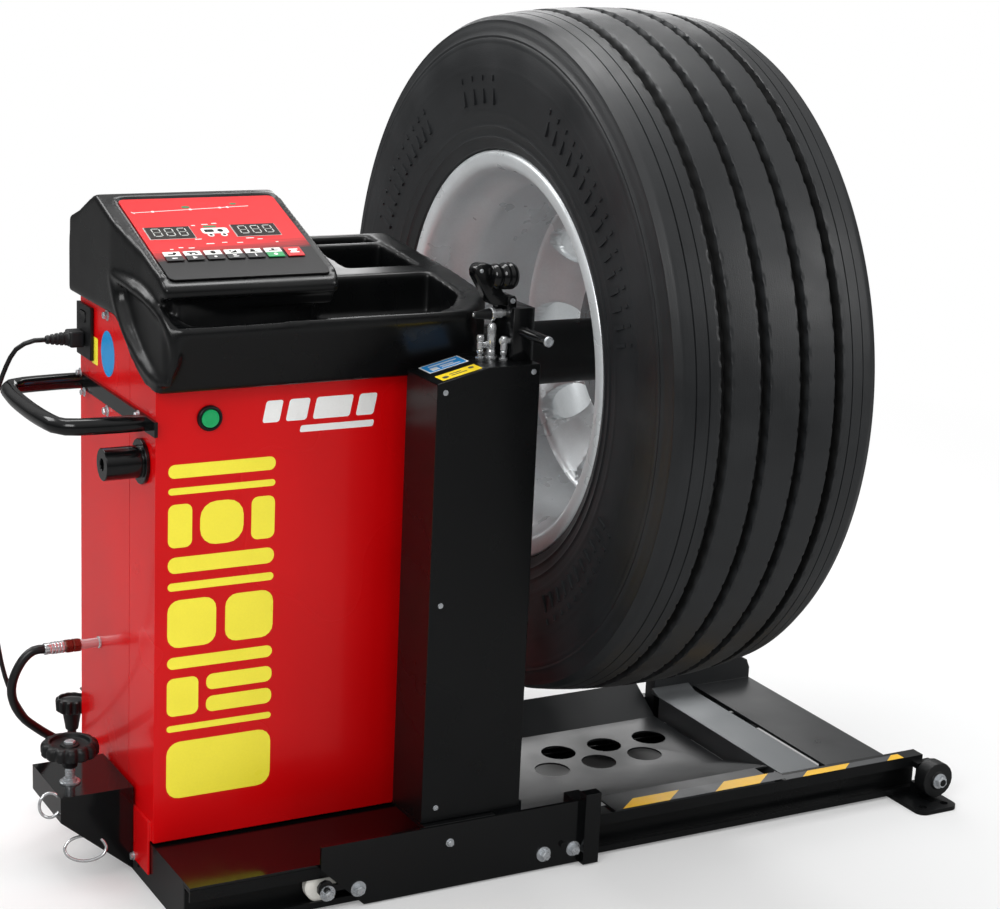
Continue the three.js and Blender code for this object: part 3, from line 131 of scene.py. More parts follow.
# A painted shadow on the floor under the wheel: its middle, and how far out it goes over to the open floor.
# There the floor's colour is painted dark grey and its white glow is taken away.
painted_shadow_middle = (0.3, 0.045, 0.0)
painted_shadow_reach = 0.05
painted_shadow_end = 0.3
floor_mesh = bpy.data.meshes.new("floor")
floor_mesh.from_pydata(
    [(-floor_reach, -floor_reach, 0), (floor_reach, -floor_reach, 0), (floor_reach, floor_reach, 0),
     (-floor_reach, floor_reach, 0)], [], [(0, 1, 2, 3)])
studio_floor = bare_material("seamless_paper_white")
paper = studio_floor.node_tree
paper_ray = put(paper, "ShaderNodeLightPath")
paper_place = put(paper, "ShaderNodeTexCoord")
paper_far = put(paper, "ShaderNodeVectorMath", {0: paper_place.outputs["Object"]}, operation="LENGTH")
paper_fade = put(paper, "ShaderNodeMapRange", {
    0: paper_far.outputs["Value"], 1: floor_clear, 2: floor_far, 3: 0.2, 4: 1.0})
paper_from_painted_shadow = put(paper, "ShaderNodeVectorMath", {0: paper_place.outputs["Object"], 1: painted_shadow_middle},
                  operation="DISTANCE")
paper_out_of_painted_shadow = put(paper, "ShaderNodeMapRange", {0: paper_from_painted_shadow.outputs["Value"], 1: painted_shadow_reach, 2: painted_shadow_end})
# Under the wheel the white glow is taken away, as part of the painted shadow
paper_glow = put(paper, "ShaderNodeMath", {0: paper_fade.outputs[0], 1: paper_out_of_painted_shadow.outputs[0]},
                 operation="MULTIPLY")
paper_seen = put(paper, "ShaderNodeMath", {
    0: paper_ray.outputs["Is Camera Ray"], 1: paper_ray.outputs["Is Transmission Ray"]}, operation="MAXIMUM")
paper_part = put(paper, "ShaderNodeMath", {0: paper_seen.outputs[0], 1: paper_glow.outputs[0]},
                 operation="MULTIPLY")
# Painted shade: in reflections the floor is a darker grey than it is to the camera
paper_shade = put(paper, "ShaderNodeMix", {
    0: paper_ray.outputs["Is Glossy Ray"], 6: tint("F4F4F4"), 7: tint("8C8C8C")}, data_type="RGBA")
# Painted shadow: under the wheel the floor's colour goes to dark grey
paper_painted_shadow_tone = put(paper, "ShaderNodeMix", {
    0: paper_out_of_painted_shadow.outputs[0], 6: tint("5A5A5A"), 7: paper_shade.outputs[2]}, data_type="RGBA")
paper_diffuse = put(paper, "ShaderNodeBsdfDiffuse", {0: paper_painted_shadow_tone.outputs[2]})
paper_white = put(paper, "ShaderNodeEmission", {0: backdrop_white, 1: 1.0})
paper_mix = put(paper, "ShaderNodeMixShader",
                {0: paper_part.outputs[0], 1: paper_diffuse.outputs[0], 2: paper_white.outputs[0]})
put(paper, "ShaderNodeOutputMaterial", {0: paper_mix.outputs[0]})
floor_mesh.materials.append(studio_floor)
placed("floor", floor_mesh)

# Lamps: name, place, target, width, height, watts
for name, place, target, width, height, watts in (
    ("softbox_front_left", (-2.9, -2.4, 2.7), (-0.3, 0.0, 0.7), 1.6, 1.6, 48),
    ("softbox_front_right", (2.6, -2.6, 2.2), (0.2, 0.0, 0.6), 1.0, 1.8, 30),
    ("softbox_above", (-0.1, 0.7, 3.2), (-0.1, 0.0, 0.6), 2.6, 1.0, 48),
    ("softbox_left", (-2.3, 2.2, 2.9), (-0.6, 0.0, 0.7), 1.8, 1.2, 34),
    ("softbox_back", (1.8, 3.0, 2.0), (0.0, 0.0, 0.7), 1.6, 1.4, 24),
):
    lamp_data = bpy.data.lights.new(name, "AREA")
    lamp_data.shape = "RECTANGLE"
    lamp_data.size = width
    lamp_data.size_y = height
    lamp_data.energy = watts
    lamp = placed(name, lamp_data)
    lamp.location = place
    lamp.rotation_euler = (Vector(target) - Vector(place)).to_track_quat("-Z", "Y").to_euler()


# Mains lead
# A flexible three-core lead, black PVC over copper, pushed on the inlet with a ribbed strain relief.
# Its spare length lies in a coil of seven turns behind the cabinet, held by a tie, with the plug on top.
machine_shift = 0.1624418


def at(x, y, z):
    """A place on the machine, in mm from the shaft's line and the floor, in the row frame."""
    return Vector((x / 1000 + machine_shift, y / 1000, z / 1000))


def soft_shade(mesh, angle):
    """Shades a mesh soft but for its edges over the angle in degrees."""
    for face in mesh.polygons:
        face.use_smooth = True
    mesh.set_sharp_from_angle(angle=math.radians(angle))


def keep(name, mesh, material, body, replaced=(), smooth=40):
    """Makes a finished piece of a mesh: material, shading (smooth 0 leaves it), body and replaced solids."""
    mesh.name = name
    mesh.materials.clear()
    mesh.materials.append(material)
    if smooth:
        soft_shade(mesh, smooth)
    piece = placed(name, mesh)
    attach(piece, body)
    if replaced:
        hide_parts(*replaced)
    return piece


def surface(name, code, rough, metal=0.0, grain=3.0, relief=0.02, drift=0.06, patch=90.0, coat=0.0,
            stretch=(1, 1, 1), scuff=0.0, shine=0.5):
    """A finish that drifts over patches, with a fine relief. grain, relief and patch are in mm."""
    made = bare_material(name)
    tree = made.node_tree
    place = put(tree, "ShaderNodeTexCoord")
    along = put(tree, "ShaderNodeMapping", {0: place.outputs["Object"], 3: stretch})
    broad = put(tree, "ShaderNodeTexNoise", {0: place.outputs["Object"], "Scale": 1000 / patch,
                                             "Detail": 3.0})
    fine = put(tree, "ShaderNodeTexNoise", {0: along.outputs[0], "Scale": 1000 / grain, "Detail": 2.0})
    shade = put(tree, "ShaderNodeMapRange", {0: broad.outputs[0], 1: 0.3, 2: 0.7, 3: 1 - drift, 4: 1 + drift})
    speckle = put(tree, "ShaderNodeMapRange", {0: fine.outputs[0], 1: 0.3, 2: 0.7, 3: 1 - drift / 2,
                                               4: 1 + drift / 2})
    both = put(tree, "ShaderNodeMath", {0: shade.outputs[0], 1: speckle.outputs[0]}, operation="MULTIPLY")
    colour = put(tree, "ShaderNodeVectorMath", {0: tint(code)[:3], 3: both.outputs[0]}, operation="SCALE")
    gloss = put(tree, "ShaderNodeMapRange",
                {0: broad.outputs[0], 1: 0.3, 2: 0.7, 3: max(rough - 0.06 - scuff, 0.03),
                 4: rough + 0.06 + scuff})
    bump = put(tree, "ShaderNodeBump", {"Strength": 0.6, "Distance": relief / 1000,
                                        "Height": fine.outputs[0]})
    shader = put(tree, "ShaderNodeBsdfPrincipled", {
        "Base Color": colour.outputs[0], "Roughness": gloss.outputs[0], "Metallic": metal,
        "Normal": bump.outputs[0], "Coat Weight": coat, "Coat Roughness": 0.06, "Specular IOR Level": shine})
    put(tree, "ShaderNodeOutputMaterial", {0: shader.outputs[0]})
    return made


def smooth_path(points, count):
    """Points spaced evenly along a centripetal curve through the places."""
    places = [Vector(p) for p in points]
    ends = [places[0] * 2 - places[1], *places, places[-1] * 2 - places[-2]]
    dense = []
    for i in range(len(places) - 1):
        p0, p1, p2, p3 = ends[i:i + 4]
        t0 = 0.0
        t1 = t0 + (p1 - p0).length ** 0.5
        t2 = t1 + (p2 - p1).length ** 0.5
        t3 = t2 + (p3 - p2).length ** 0.5
        for k in range(24):
            t = t1 + (t2 - t1) * k / 24
            a1 = p0 * ((t1 - t) / (t1 - t0)) + p1 * ((t - t0) / (t1 - t0))
            a2 = p1 * ((t2 - t) / (t2 - t1)) + p2 * ((t - t1) / (t2 - t1))
            a3 = p2 * ((t3 - t) / (t3 - t2)) + p3 * ((t - t2) / (t3 - t2))
            b1 = a1 * ((t2 - t) / (t2 - t0)) + a2 * ((t - t0) / (t2 - t0))
            b2 = a2 * ((t3 - t) / (t3 - t1)) + a3 * ((t - t1) / (t3 - t1))
            dense.append(b1 * ((t2 - t) / (t2 - t1)) + b2 * ((t - t1) / (t2 - t1)))
    dense.append(places[-1])
    spans = [0.0]
    for i in range(1, len(dense)):
        spans.append(spans[-1] + (dense[i] - dense[i - 1]).length)
    even = []
    k = 1
    for i in range(count):
        goal = spans[-1] * i / (count - 1)
        while k < len(dense) - 1 and spans[k] < goal:
            k += 1
        share = (goal - spans[k - 1]) / max(spans[k] - spans[k - 1], 1e-9)
        even.append(dense[k - 1].lerp(dense[k], min(max(share, 0.0), 1.0)))
    return even


def written(name, work):
    """The mesh of a finished bmesh, with its faces turned outwards."""
    bmesh.ops.recalc_face_normals(work, faces=work.faces)
    made = bpy.data.meshes.new(name)
    work.to_mesh(made)
    work.free()
    return made


def merged(name, parts):
    """Several closed meshes as one; the single ones are removed."""
    work = bmesh.new()
    for part in parts:
        work.from_mesh(part)
        bpy.data.meshes.remove(part)
    made = bpy.data.meshes.new(name)
    work.to_mesh(made)
    work.free()
    return made


def joined(name, parts, material, body, replaced=(), smooth=40):
    """Several closed meshes as one piece."""
    return keep(name, merged(name, parts), material, body, replaced, smooth)


def skin(work, rings):
    """Faces from each ring of points to the next. A ring of one point is a tip."""
    for a, b in zip(rings, rings[1:]):
        for k in range(max(len(a), len(b))):
            corners = dict.fromkeys((a[k % len(a)], a[(k + 1) % len(a)], b[(k + 1) % len(b)], b[k % len(b)]))
            if len(corners) > 2:
                work.faces.new(list(corners))


def tube_mesh(name, path, radius, sides, ripple=None):
    """A round tube with closed ends that follows a path, with its section carried along without twist."""
    bm = bmesh.new()
    along = bm.loops.layers.uv.new("along")
    rings = []
    normal = None
    reach = 0.0
    distances = []
    for i, place in enumerate(path):
        ahead = (path[min(i + 1, len(path) - 1)] - path[max(i - 1, 0)]).normalized()
        if normal is None:
            normal = ahead.orthogonal().normalized()
        normal = (normal - ahead * normal.dot(ahead)).normalized()
        side = ahead.cross(normal)
        width = radius * (ripple(i) if ripple else 1.0)
        turns = [2 * math.pi * k / sides for k in range(sides)]
        rings.append([bm.verts.new(place + (normal * math.cos(t) + side * math.sin(t)) * width)
                      for t in turns])
        reach += (place - path[i - 1]).length if i else 0.0
        distances.append(reach)
    for i in range(len(rings) - 1):
        a, b = rings[i], rings[i + 1]
        for k in range(sides):
            face = bm.faces.new((a[k], a[(k + 1) % sides], b[(k + 1) % sides], b[k]))
            for loop, (u, v) in zip(face.loops, ((k, i), (k + 1, i), (k + 1, i + 1), (k, i + 1))):
                loop[along].uv = (u / sides, distances[v])
    bm.faces.new(list(reversed(rings[0])))
    bm.faces.new(rings[-1])
    return written(name, bm)


def turned_mesh(name, axis, centre, profile, sides, closed=False):
    """A turned shape. The profile gives (distance along the axis, radius) in mm from the centre."""
    bm = bmesh.new()
    aim = Vector(axis).normalized()
    first = aim.orthogonal().normalized()
    second = aim.cross(first)
    turns = [2 * math.pi * k / sides for k in range(sides)]
    rings = []
    for along, radius in profile:
        middle = centre + aim * along / 1000
        if radius < 0.001:
            rings.append([bm.verts.new(middle)])
        else:
            rings.append([bm.verts.new(middle + (first * math.cos(t) + second * math.sin(t)) * radius / 1000)
                          for t in turns])
    skin(bm, rings + rings[:1] if closed else rings)
    return written(name, bm)


# PVC lead sheath: extruded, even black with a soft sheen and faint drawing lines
lead_sheath = surface("pvc_lead_sheath", "141516", 0.42, grain=6, relief=0.05, drift=0.08, patch=60)
# Moulded PVC on the connector and the plug: a little more matt than the sheath
lead_moulding = surface("pvc_moulding_black", "17181A", 0.5, grain=4, relief=0.04, drift=0.08, patch=40)
# Nickel-plated plug pins: bright, faintly warm metal
pin_nickel = surface("nickel_plated_pins", "C9C4B8", 0.22, metal=1.0, grain=2, relief=0.01, drift=0.05,
                     patch=20)

lead_radius = 0.0036
inlet = (165, 770)
connector_back = -763.6
connector_end = -785.6
lead_route = smooth_path([at(*p) for p in (
    (-819.9, 165, 770), (-835.6, 165, 770), (-858, 178, 757), (-875, 194, 716), (-888, 205, 655),
    (-893, 213, 560), (-892, 220, 450), (-886, 226, 340), (-873, 231, 250), (-861, 235, 206),
    (-848, 241, 177), (-821, 256, 132), (-790, 276, 97), (-754, 302, 66), (-716, 333, 36), (-678, 370, 14),
    (-654, 402, 6), (-643, 435.4, 5), (-643, 451.4, 5))], 64)
coil_turns = 7
coil_steps = 28
coil_middle = (-603, 452)
coil_radius = 40
coil_base = 5
coil_pitch = 7.7
plug_climb = 13
coil_route = []
for i in range(coil_turns * coil_steps + 1):
    turn = i / coil_steps
    angle = math.pi - turn * 2 * math.pi
    climb = min(max((turn - coil_turns + 0.5) / 0.5, 0.0), 1.0)
    wide = coil_radius + math.sin(turn * 2) * math.cos(angle / 2) ** 2
    coil_route.append(at(coil_middle[0] + wide * math.cos(angle), coil_middle[1] + wide * math.sin(angle),
                         coil_base + coil_pitch * turn + plug_climb * climb * climb * (3 - 2 * climb)))
whole_route = lead_route + coil_route[1:]
mains_lead = keep("mains_lead_sheath", tube_mesh("mains_lead_sheath", whole_route, lead_radius, 12),
                  lead_sheath, "frame", ("mains_lead", "mains_coil"))

connector_parts = bmesh.new()
connector_grip_profile = ((0, 0), (0, 11.5), (3, 12), (5, 10.6), (8, 10.4), (9, 9), (11, 9), (12, 10),
                          (15, 9.8), (16, 8.2), (18, 8.2), (19, 9.2), (22, 8.8), (23, 7.2), (25, 7.2),
                          (26, 8.2), (29, 7.7), (30, 6.2), (32, 6.2), (33, 6.9), (36, 6.4), (37.4, 5.4),
                          (37.8, 0))
grip = turned_mesh("connector_grip", (-1, 0, 0), at(connector_end + 4, *inlet), connector_grip_profile, 28)
connector_parts.from_mesh(grip)
bpy.data.meshes.remove(grip)
block = bmesh.ops.create_cube(connector_parts, size=1.0)["verts"]
bmesh.ops.scale(connector_parts, vec=(0.0216, 0.030, 0.024), verts=block)
bmesh.ops.translate(connector_parts, vec=at((connector_back + connector_end) / 2, *inlet), verts=block)
bmesh.ops.bevel(connector_parts, geom=[e for e in connector_parts.edges if all(v in block for v in e.verts)],
                offset=0.0035, segments=3, profile=0.6, affect="EDGES")
connector_mesh = bpy.data.meshes.new("lead_connector_moulding")
connector_parts.to_mesh(connector_mesh)
connector_parts.free()
lead_connector = keep("lead_connector_moulding", connector_mesh, lead_moulding, "frame",
                      ("lead_connector",))

plug_place = at(-643, 452.6, 71.9)
mains_plug_shell_profile = ((0, 0), (0, 5.2), (1.5, 6), (6, 6.2), (7, 5.4), (9, 5.4), (10, 6.8), (13, 7.2),
                            (14, 6.4), (16, 6.6), (17, 8.0), (22, 9.6), (32, 11.2), (41, 11.8), (44.4, 11.4),
                            (45.4, 10), (45.4, 0))
plug_shell = turned_mesh("mains_plug_shell", (0, 1, 0), plug_place, mains_plug_shell_profile, 32)
mains_plug = keep("mains_plug_shell", plug_shell, lead_moulding, "frame", ("mains_plug",))
pin_profile = ((-1, 0), (-1, 2.4), (8, 2.4), (17, 2.4), (18.4, 1.8), (19, 0.9), (19, 0))
mains_pins = joined("mains_plug_pins", [
    turned_mesh("pin", (0, 1, 0), at(-643 + side, 498, 71.9), pin_profile, 16) for side in (-9.5, 9.5)
], pin_nickel, "frame")

# The tie is a soft strap closed round all seven turns
tie_loop = []
for i in range(25):
    angle = 2 * math.pi * i / 24
    tie_loop.append(at(-563 + 7.2 * math.copysign(abs(math.cos(angle)) ** 0.6, math.cos(angle)), 452,
                       31.5 + 30.5 * math.copysign(abs(math.sin(angle)) ** 0.7, math.sin(angle))))
tie = bmesh.new()
tie_rings = []
for i in range(24):
    ahead = (tie_loop[i + 1] - tie_loop[i - 1 if i else 23]).normalized()
    out = Vector((ahead.z, 0, -ahead.x))
    tie_rings.append([tie.verts.new(tie_loop[i] + Vector((0, y / 1000, 0)) + out * h / 1000)
                      for y, h in ((-5, 0), (5, 0), (5, 1.2), (-5, 1.2))])
skin(tie, tie_rings + tie_rings[:1])
coil_tie = keep("coil_tie", written("coil_tie", tie), lead_moulding, "frame")


# Air hose and its coupling
# A black rubber hose from the plated coupling on the cabinet's side, looping down to a grommet by the base.
# The coupling is a plated pipe with a hexagon nut anodised reddish brown and a knurled ferrule.

# Rubber hose cover: smooth extruded rubber with a broad soft highlight
hose_rubber = surface("hose_rubber_black", "121314", 0.34, grain=8, relief=0.06, drift=0.08, patch=50)
# Chrome plating on the pipe and ferrule: mirror bright with slight handling haze
chrome_plate = surface("chrome_plating", "E4E6E8", 0.14, metal=0.78, grain=3, relief=0.008, drift=0.04,
                       patch=30)
# Anodised nut: reddish-brown aluminium, satin
anodised_brown = surface("anodised_aluminium_brown", "8A4A40", 0.3, metal=0.9, grain=3, relief=0.01,
                         drift=0.08, patch=20)

hose_radius = 0.007
hose_route = smooth_path([at(*p) for p in (
    (-845.6, 99, 310), (-859.3, 99, 310), (-874, 100, 300), (-889, 101, 275), (-894, 103, 250),
    (-889, 106, 226), (-874, 111, 200), (-850, 120, 176), (-820, 136, 150), (-792, 156, 128),
    (-771.3, 168, 118), (-757.6, 168, 118)
)], 40)
air_hose = keep("air_hose_rubber", tube_mesh("air_hose_rubber", hose_route, hose_radius, 20), hose_rubber,
                "frame", ("air_hose",))

coupling_face = at(-757.4, 99, 310)
air_coupling_pipe_profile = ((0, 0), (0, 9.4), (2.5, 9.4), (3.4, 8.6), (3.8, 7.5), (30, 7.5), (31, 9),
                             (33, 9), (34, 7.2), (56, 7.2), (58, 9.4), (61, 9.4), (62, 8.2), (63, 9.4),
                             (66, 9.4), (67, 8.2), (68, 9.4), (71, 9.4), (72, 8.2), (73, 9.4), (76, 9.4),
                             (77, 8.4), (86, 9.2), (87.6, 8.6), (87.9, 0))
pipe_mesh = turned_mesh("air_coupling_pipe", (-1, 0, 0), coupling_face, air_coupling_pipe_profile, 40)
keep("air_coupling_pipe", pipe_mesh, chrome_plate, "frame", ("air_coupling",))
air_coupling_nut_profile = ((32, 7.3), (32, 10.2), (33.4, 11), (42, 11), (43, 10.1), (44, 10.1), (45, 11),
                            (54, 11), (55.6, 10), (55.6, 7.3))
nut_mesh = turned_mesh("air_coupling_nut", (-1, 0, 0), coupling_face, air_coupling_nut_profile, 6, True)
keep("air_coupling_nut", nut_mesh, anodised_brown, "frame", smooth=20)


# Tyre
# A tubeless truck tyre, 315/80 R22.5 in its outside size, moulded of vulcanised rubber. Four wavy grooves
# with nicked edges run round the tread, and mould rings round the shoulders and walls.

# Vulcanised tread rubber: dark, faintly blue-grey, brushed looking along its way round, with a dull sheen
def tyre_rubber():
    made = bare_material("vulcanised_tyre_rubber")
    tree = made.node_tree
    place = put(tree, "ShaderNodeTexCoord")
    spread = put(tree, "ShaderNodeUVMap", uv_map="round_and_across")
    # Grain drawn out along the way round: 60 mm long and 1.5 mm wide
    along = put(tree, "ShaderNodeMapping", {0: spread.outputs[0], 3: (1000 / 60, 1000 / 1.5, 1)})
    streak = put(tree, "ShaderNodeTexNoise", {0: along.outputs[0], "Scale": 1.0, "Detail": 4.0,
                                              "Roughness": 0.6})
    patch = put(tree, "ShaderNodeTexNoise", {0: place.outputs["Object"], "Scale": 9.0, "Detail": 4.0})
    grit = put(tree, "ShaderNodeTexNoise", {0: place.outputs["Object"], "Scale": 700.0, "Detail": 2.0})
    tone = put(tree, "ShaderNodeMapRange", {0: patch.outputs[0], 1: 0.3, 2: 0.7, 3: 0.84, 4: 1.2})
    line = put(tree, "ShaderNodeMapRange", {0: streak.outputs[0], 1: 0.3, 2: 0.7, 3: 0.88, 4: 1.16})
    both = put(tree, "ShaderNodeMath", {0: tone.outputs[0], 1: line.outputs[0]}, operation="MULTIPLY")
    # Painted shade darkens the grooves' colour: below the crown and between the shoulders
    from_hub = put(tree, "ShaderNodeVectorMath", {
        0: place.outputs["Object"], 1: at(tyre_centre, 0, shaft_height)}, operation="SUBTRACT")
    split = put(tree, "ShaderNodeSeparateXYZ", {0: from_hub.outputs[0]})
    across = put(tree, "ShaderNodeMath", {0: split.outputs[0]}, operation="ABSOLUTE")
    middle = put(tree, "ShaderNodeMath", {0: across.outputs[0], 1: 0.112}, operation="LESS_THAN")
    radial = put(tree, "ShaderNodeVectorMath", {0: from_hub.outputs[0], 1: (0, 1, 1)}, operation="MULTIPLY")
    reach = put(tree, "ShaderNodeVectorMath", {0: radial.outputs[0]}, operation="LENGTH")
    groove_painted_shade = put(tree, "ShaderNodeMapRange", {0: reach.outputs["Value"], 1: 0.5325, 2: 0.527, 3: 0.0, 4: 0.82})
    depth = put(tree, "ShaderNodeMath", {0: groove_painted_shade.outputs[0], 1: middle.outputs[0]}, operation="MULTIPLY")
    # How much of the colour the grooves' painted shade leaves
    kept = put(tree, "ShaderNodeMath", {0: 1.0, 1: depth.outputs[0]}, operation="SUBTRACT")
    tone_with_painted_shade = put(tree, "ShaderNodeMath", {0: both.outputs[0], 1: kept.outputs[0]}, operation="MULTIPLY")
    colour = put(tree, "ShaderNodeVectorMath", {0: tint("1C1E20")[:3], 3: tone_with_painted_shade.outputs[0]},
                 operation="SCALE")
    worn = put(tree, "ShaderNodeMapRange", {0: patch.outputs[0], 1: 0.3, 2: 0.7, 3: 0.34, 4: 0.54})
    gloss = put(tree, "ShaderNodeMath", {0: depth.outputs[0], 1: 0.4, 2: worn.outputs[0]},
                operation="MULTIPLY_ADD")
    height = put(tree, "ShaderNodeMath", {0: streak.outputs[0], 1: grit.outputs[0]}, operation="ADD")
    bump = put(tree, "ShaderNodeBump", {"Strength": 0.5, "Distance": 0.0003, "Height": height.outputs[0]})
    shader = put(tree, "ShaderNodeBsdfPrincipled", {
        "Base Color": colour.outputs[0], "Roughness": gloss.outputs[0], "Normal": bump.outputs[0],
        "IOR": 1.52})
    put(tree, "ShaderNodeOutputMaterial", {0: shader.outputs[0]})
    return made


shaft_height = 738
tyre_centre = 21
tyre_half = 184
tyre_radius = 538
rim_flange = 320
groove_shares = (-0.52, -0.18, 0.18, 0.52)
groove_width = 16
groove_depth = 15.5
waves = 94
wave_swing = 1.5
steps_each_wave = 6
tyre_steps = waves * steps_each_wave
sipe_depth = 2.4


def tyre_outward(share):
    return rim_flange + (tyre_radius - rim_flange) * share


def rounded(points, count):
    """A smooth line through the points, evenly spaced: (share across, share outward) pairs."""
    return [(p.x, p.y) for p in smooth_path([(a, b, 0) for a, b in points], count)]


wall_shares = ((0.88, 0.93), (0.925, 0.9), (0.955, 0.82), (0.985, 0.7039), (1.0, 0.56), (1.0, 0.4817),
               (0.985, 0.34), (0.965, 0.2103), (0.94, 0.1), (0.905, 0.0138))


def crown_share(share):
    """How far out the tread lies at a share of the half width: a shallow arc."""
    return 1 - 0.0617 * (abs(share) / 0.86) ** 2.2


# Mould rings on each wall: (share outward, half width as a share, height in mm)
wall_rings = ((0.955, 0.006, -1.4), (0.905, 0.008, 1.6), (0.87, 0.005, -1.2), (0.8, 0.007, 1.4),
              (0.765, 0.005, 1.0), (0.58, 0.006, 1.2), (0.27, 0.006, 1.3), (0.17, 0.008, 1.6),
              (0.09, 0.009, 2.2))
left_wall = []
for across_share, out_share in rounded(wall_shares, 60):
    lift = sum(height * math.exp(-((out_share - ring) / half) ** 2) for ring, half, height in wall_rings)
    left_wall.append((tyre_centre - tyre_half * across_share - lift, tyre_outward(out_share), 0.0))
profile = [(-132.4, 304, 0.0), (-132.4, 318, 0.0), *reversed(left_wall)]
tread = []
share = -0.865
while share < 0.8651:
    nearest = min(groove_shares, key=lambda g: abs(share - g))
    if abs(share - nearest) * tyre_half > groove_width / 2 + 3:
        tread.append((share, 0.0, 0.0))
    share += 0.0192
for groove in groove_shares:
    half = groove_width / 2 / tyre_half
    for offset, drop, swing in ((1.5, 0, 0), (1.1, 0.02, 0.2), (1.0, 1.0, 0.3),
                                (0.86, groove_depth * 0.6, 1.0), (0.6, groove_depth, 0.6)):
        tread += [(groove + side * offset * half, drop, swing) for side in (-1, 1)]
# Two fine lines run round each shoulder
for line in (-0.77, -0.66, 0.66, 0.77):
    for offset, drop in ((-0.006, 0), (-0.003, 1.8), (0.003, 1.8), (0.006, 0)):
        tread.append((line + offset, drop, 0.0))
tread.sort()
for share, drop, swing in tread:
    profile.append((tyre_centre + tyre_half * share, tyre_outward(crown_share(share)) - drop, swing))
profile += [(2 * tyre_centre - x, radius, swing) for x, radius, swing in left_wall]
profile += [(175.4, 318, 0.0), (175.4, 304, 0.0), (144, 304, 0.0), (172, 380, 0.0), (174, 430, 0.0),
            (150, 500, 0.0), (21, 508, 0.0), (-108, 500, 0.0), (-132, 430, 0.0), (-130, 380, 0.0),
            (-102, 304, 0.0)]
bm = bmesh.new()
spread = bm.loops.layers.uv.new("round_and_across")
rings = []
hub = at(0, 0, shaft_height)
across_runs = [0.0]
for a, b in zip(profile, profile[1:]):
    across_runs.append(across_runs[-1] + math.hypot(b[0] - a[0], b[1] - a[1]) / 1000)
for k in range(tyre_steps):
    angle = 2 * math.pi * k / tyre_steps
    wave = wave_swing * math.sin(waves * angle)
    # Sipes: a short nick in both edges of each groove, once each wave
    nick = sipe_depth if k % steps_each_wave == 1 else 0.0
    ring = []
    for x, radius, swing in profile:
        radius -= nick if 0 < swing < 0.5 else 0.0
        ring.append(bm.verts.new(hub + Vector(((x + wave * swing) / 1000, radius * math.cos(angle) / 1000,
                                               radius * math.sin(angle) / 1000))))
    rings.append(ring)
for k in range(tyre_steps):
    a, b = rings[k], rings[(k + 1) % tyre_steps]
    for i in range(len(profile)):
        j = (i + 1) % len(profile)
        face = bm.faces.new((a[i], a[j], b[j], b[i]))
        for loop, (u, v) in zip(face.loops, ((k, i), (k, i + 1), (k + 1, i + 1), (k + 1, i))):
            loop[spread].uv = (u * 2 * math.pi * 0.538 / tyre_steps, across_runs[min(v, len(profile) - 1)])
tyre_finish = tyre_rubber()
keep("tyre_carcass", written("tyre_carcass", bm), tyre_finish, "wheel_shaft", ("tyre",),
     smooth=32)


# Rim
# A drop-centre steel rim, 22.5 inches across, rolled from sheet and welded to a pressed disc with ten
# hand holes and ten stud holes. It is painted silver: a metallic lacquer with a soft, slightly cloudy
# shine.
silver_lacquer = surface("silver_metallic_lacquer", "D8DCDE", 0.32, metal=0.38, grain=4, relief=0.012,
                         drift=0.05, patch=70, scuff=0.03)

rim_outer = ((-146, 309), (-145.4, 315), (-142, 319.2), (-137, 320), (-134.2, 317.5), (-133.2, 312),
             (-133, 300), (-128, 297), (-112, 294), (-104, 292), (-92, 287), (-72, 276), (-60, 271),
             (-45.5, 270), (20, 270), (95.2, 270), (108, 273), (128, 284), (142.1, 292), (160, 295.5),
             (171, 297), (176, 300), (176.2, 312), (177.2, 317.5), (180, 320), (185, 319.2), (188.4, 315),
             (189, 309))
rim_inner = ((188.8, 303), (186, 297), (178, 291), (166, 288), (142.1, 284), (126, 276), (108, 265),
             (95.2, 262), (60, 262.6), (20, 262), (-45.5, 262), (-60, 263), (-74, 269), (-92, 279),
             (-106, 284), (-122, 287), (-134, 290), (-142, 295), (-145.8, 302))
rim_line = rounded(rim_outer, 90) + rounded(rim_inner, 80)
barrel_mesh = turned_mesh("rim_barrel", (1, 0, 0), hub, rim_line, 192, True)
keep("rim_barrel", barrel_mesh, silver_lacquer, "wheel_shaft", ("rim",), smooth=50)

disc_outer = ((130, 140.6), (129.6, 170), (129, 190), (126, 199), (118, 207), (104, 219), (90, 233),
              (74, 247), (62, 256), (56.5, 262.6))
disc_inner = ((79, 262.6), (86, 254), (98, 242), (112, 229), (126, 216), (136, 205), (141, 198), (142, 190),
              (142, 170), (142, 140.6))
disc_line = rounded(disc_outer, 34) + rounded(disc_inner, 34)
disc_blank = placed("disc_blank", turned_mesh("disc_blank", (1, 0, 0), hub, disc_line, 160, True))
# Ten hand holes and ten stud holes: the hole's radius, and that of the circle on which they lie
disc_holes = []
for i in range(10):
    angle = 2 * math.pi * i / 10
    for radius, circle in ((30, 226), (13, 167.5)):
        spot = at(40, circle * math.cos(angle), shaft_height + circle * math.sin(angle))
        bore = ((0, 0), (0, radius), (130, radius), (130, 0))
        disc_holes.append(turned_mesh("hole", (1, 0, 0), spot, bore, 40))
disc_punch = placed("disc_punch", merged("disc_punch", disc_holes))


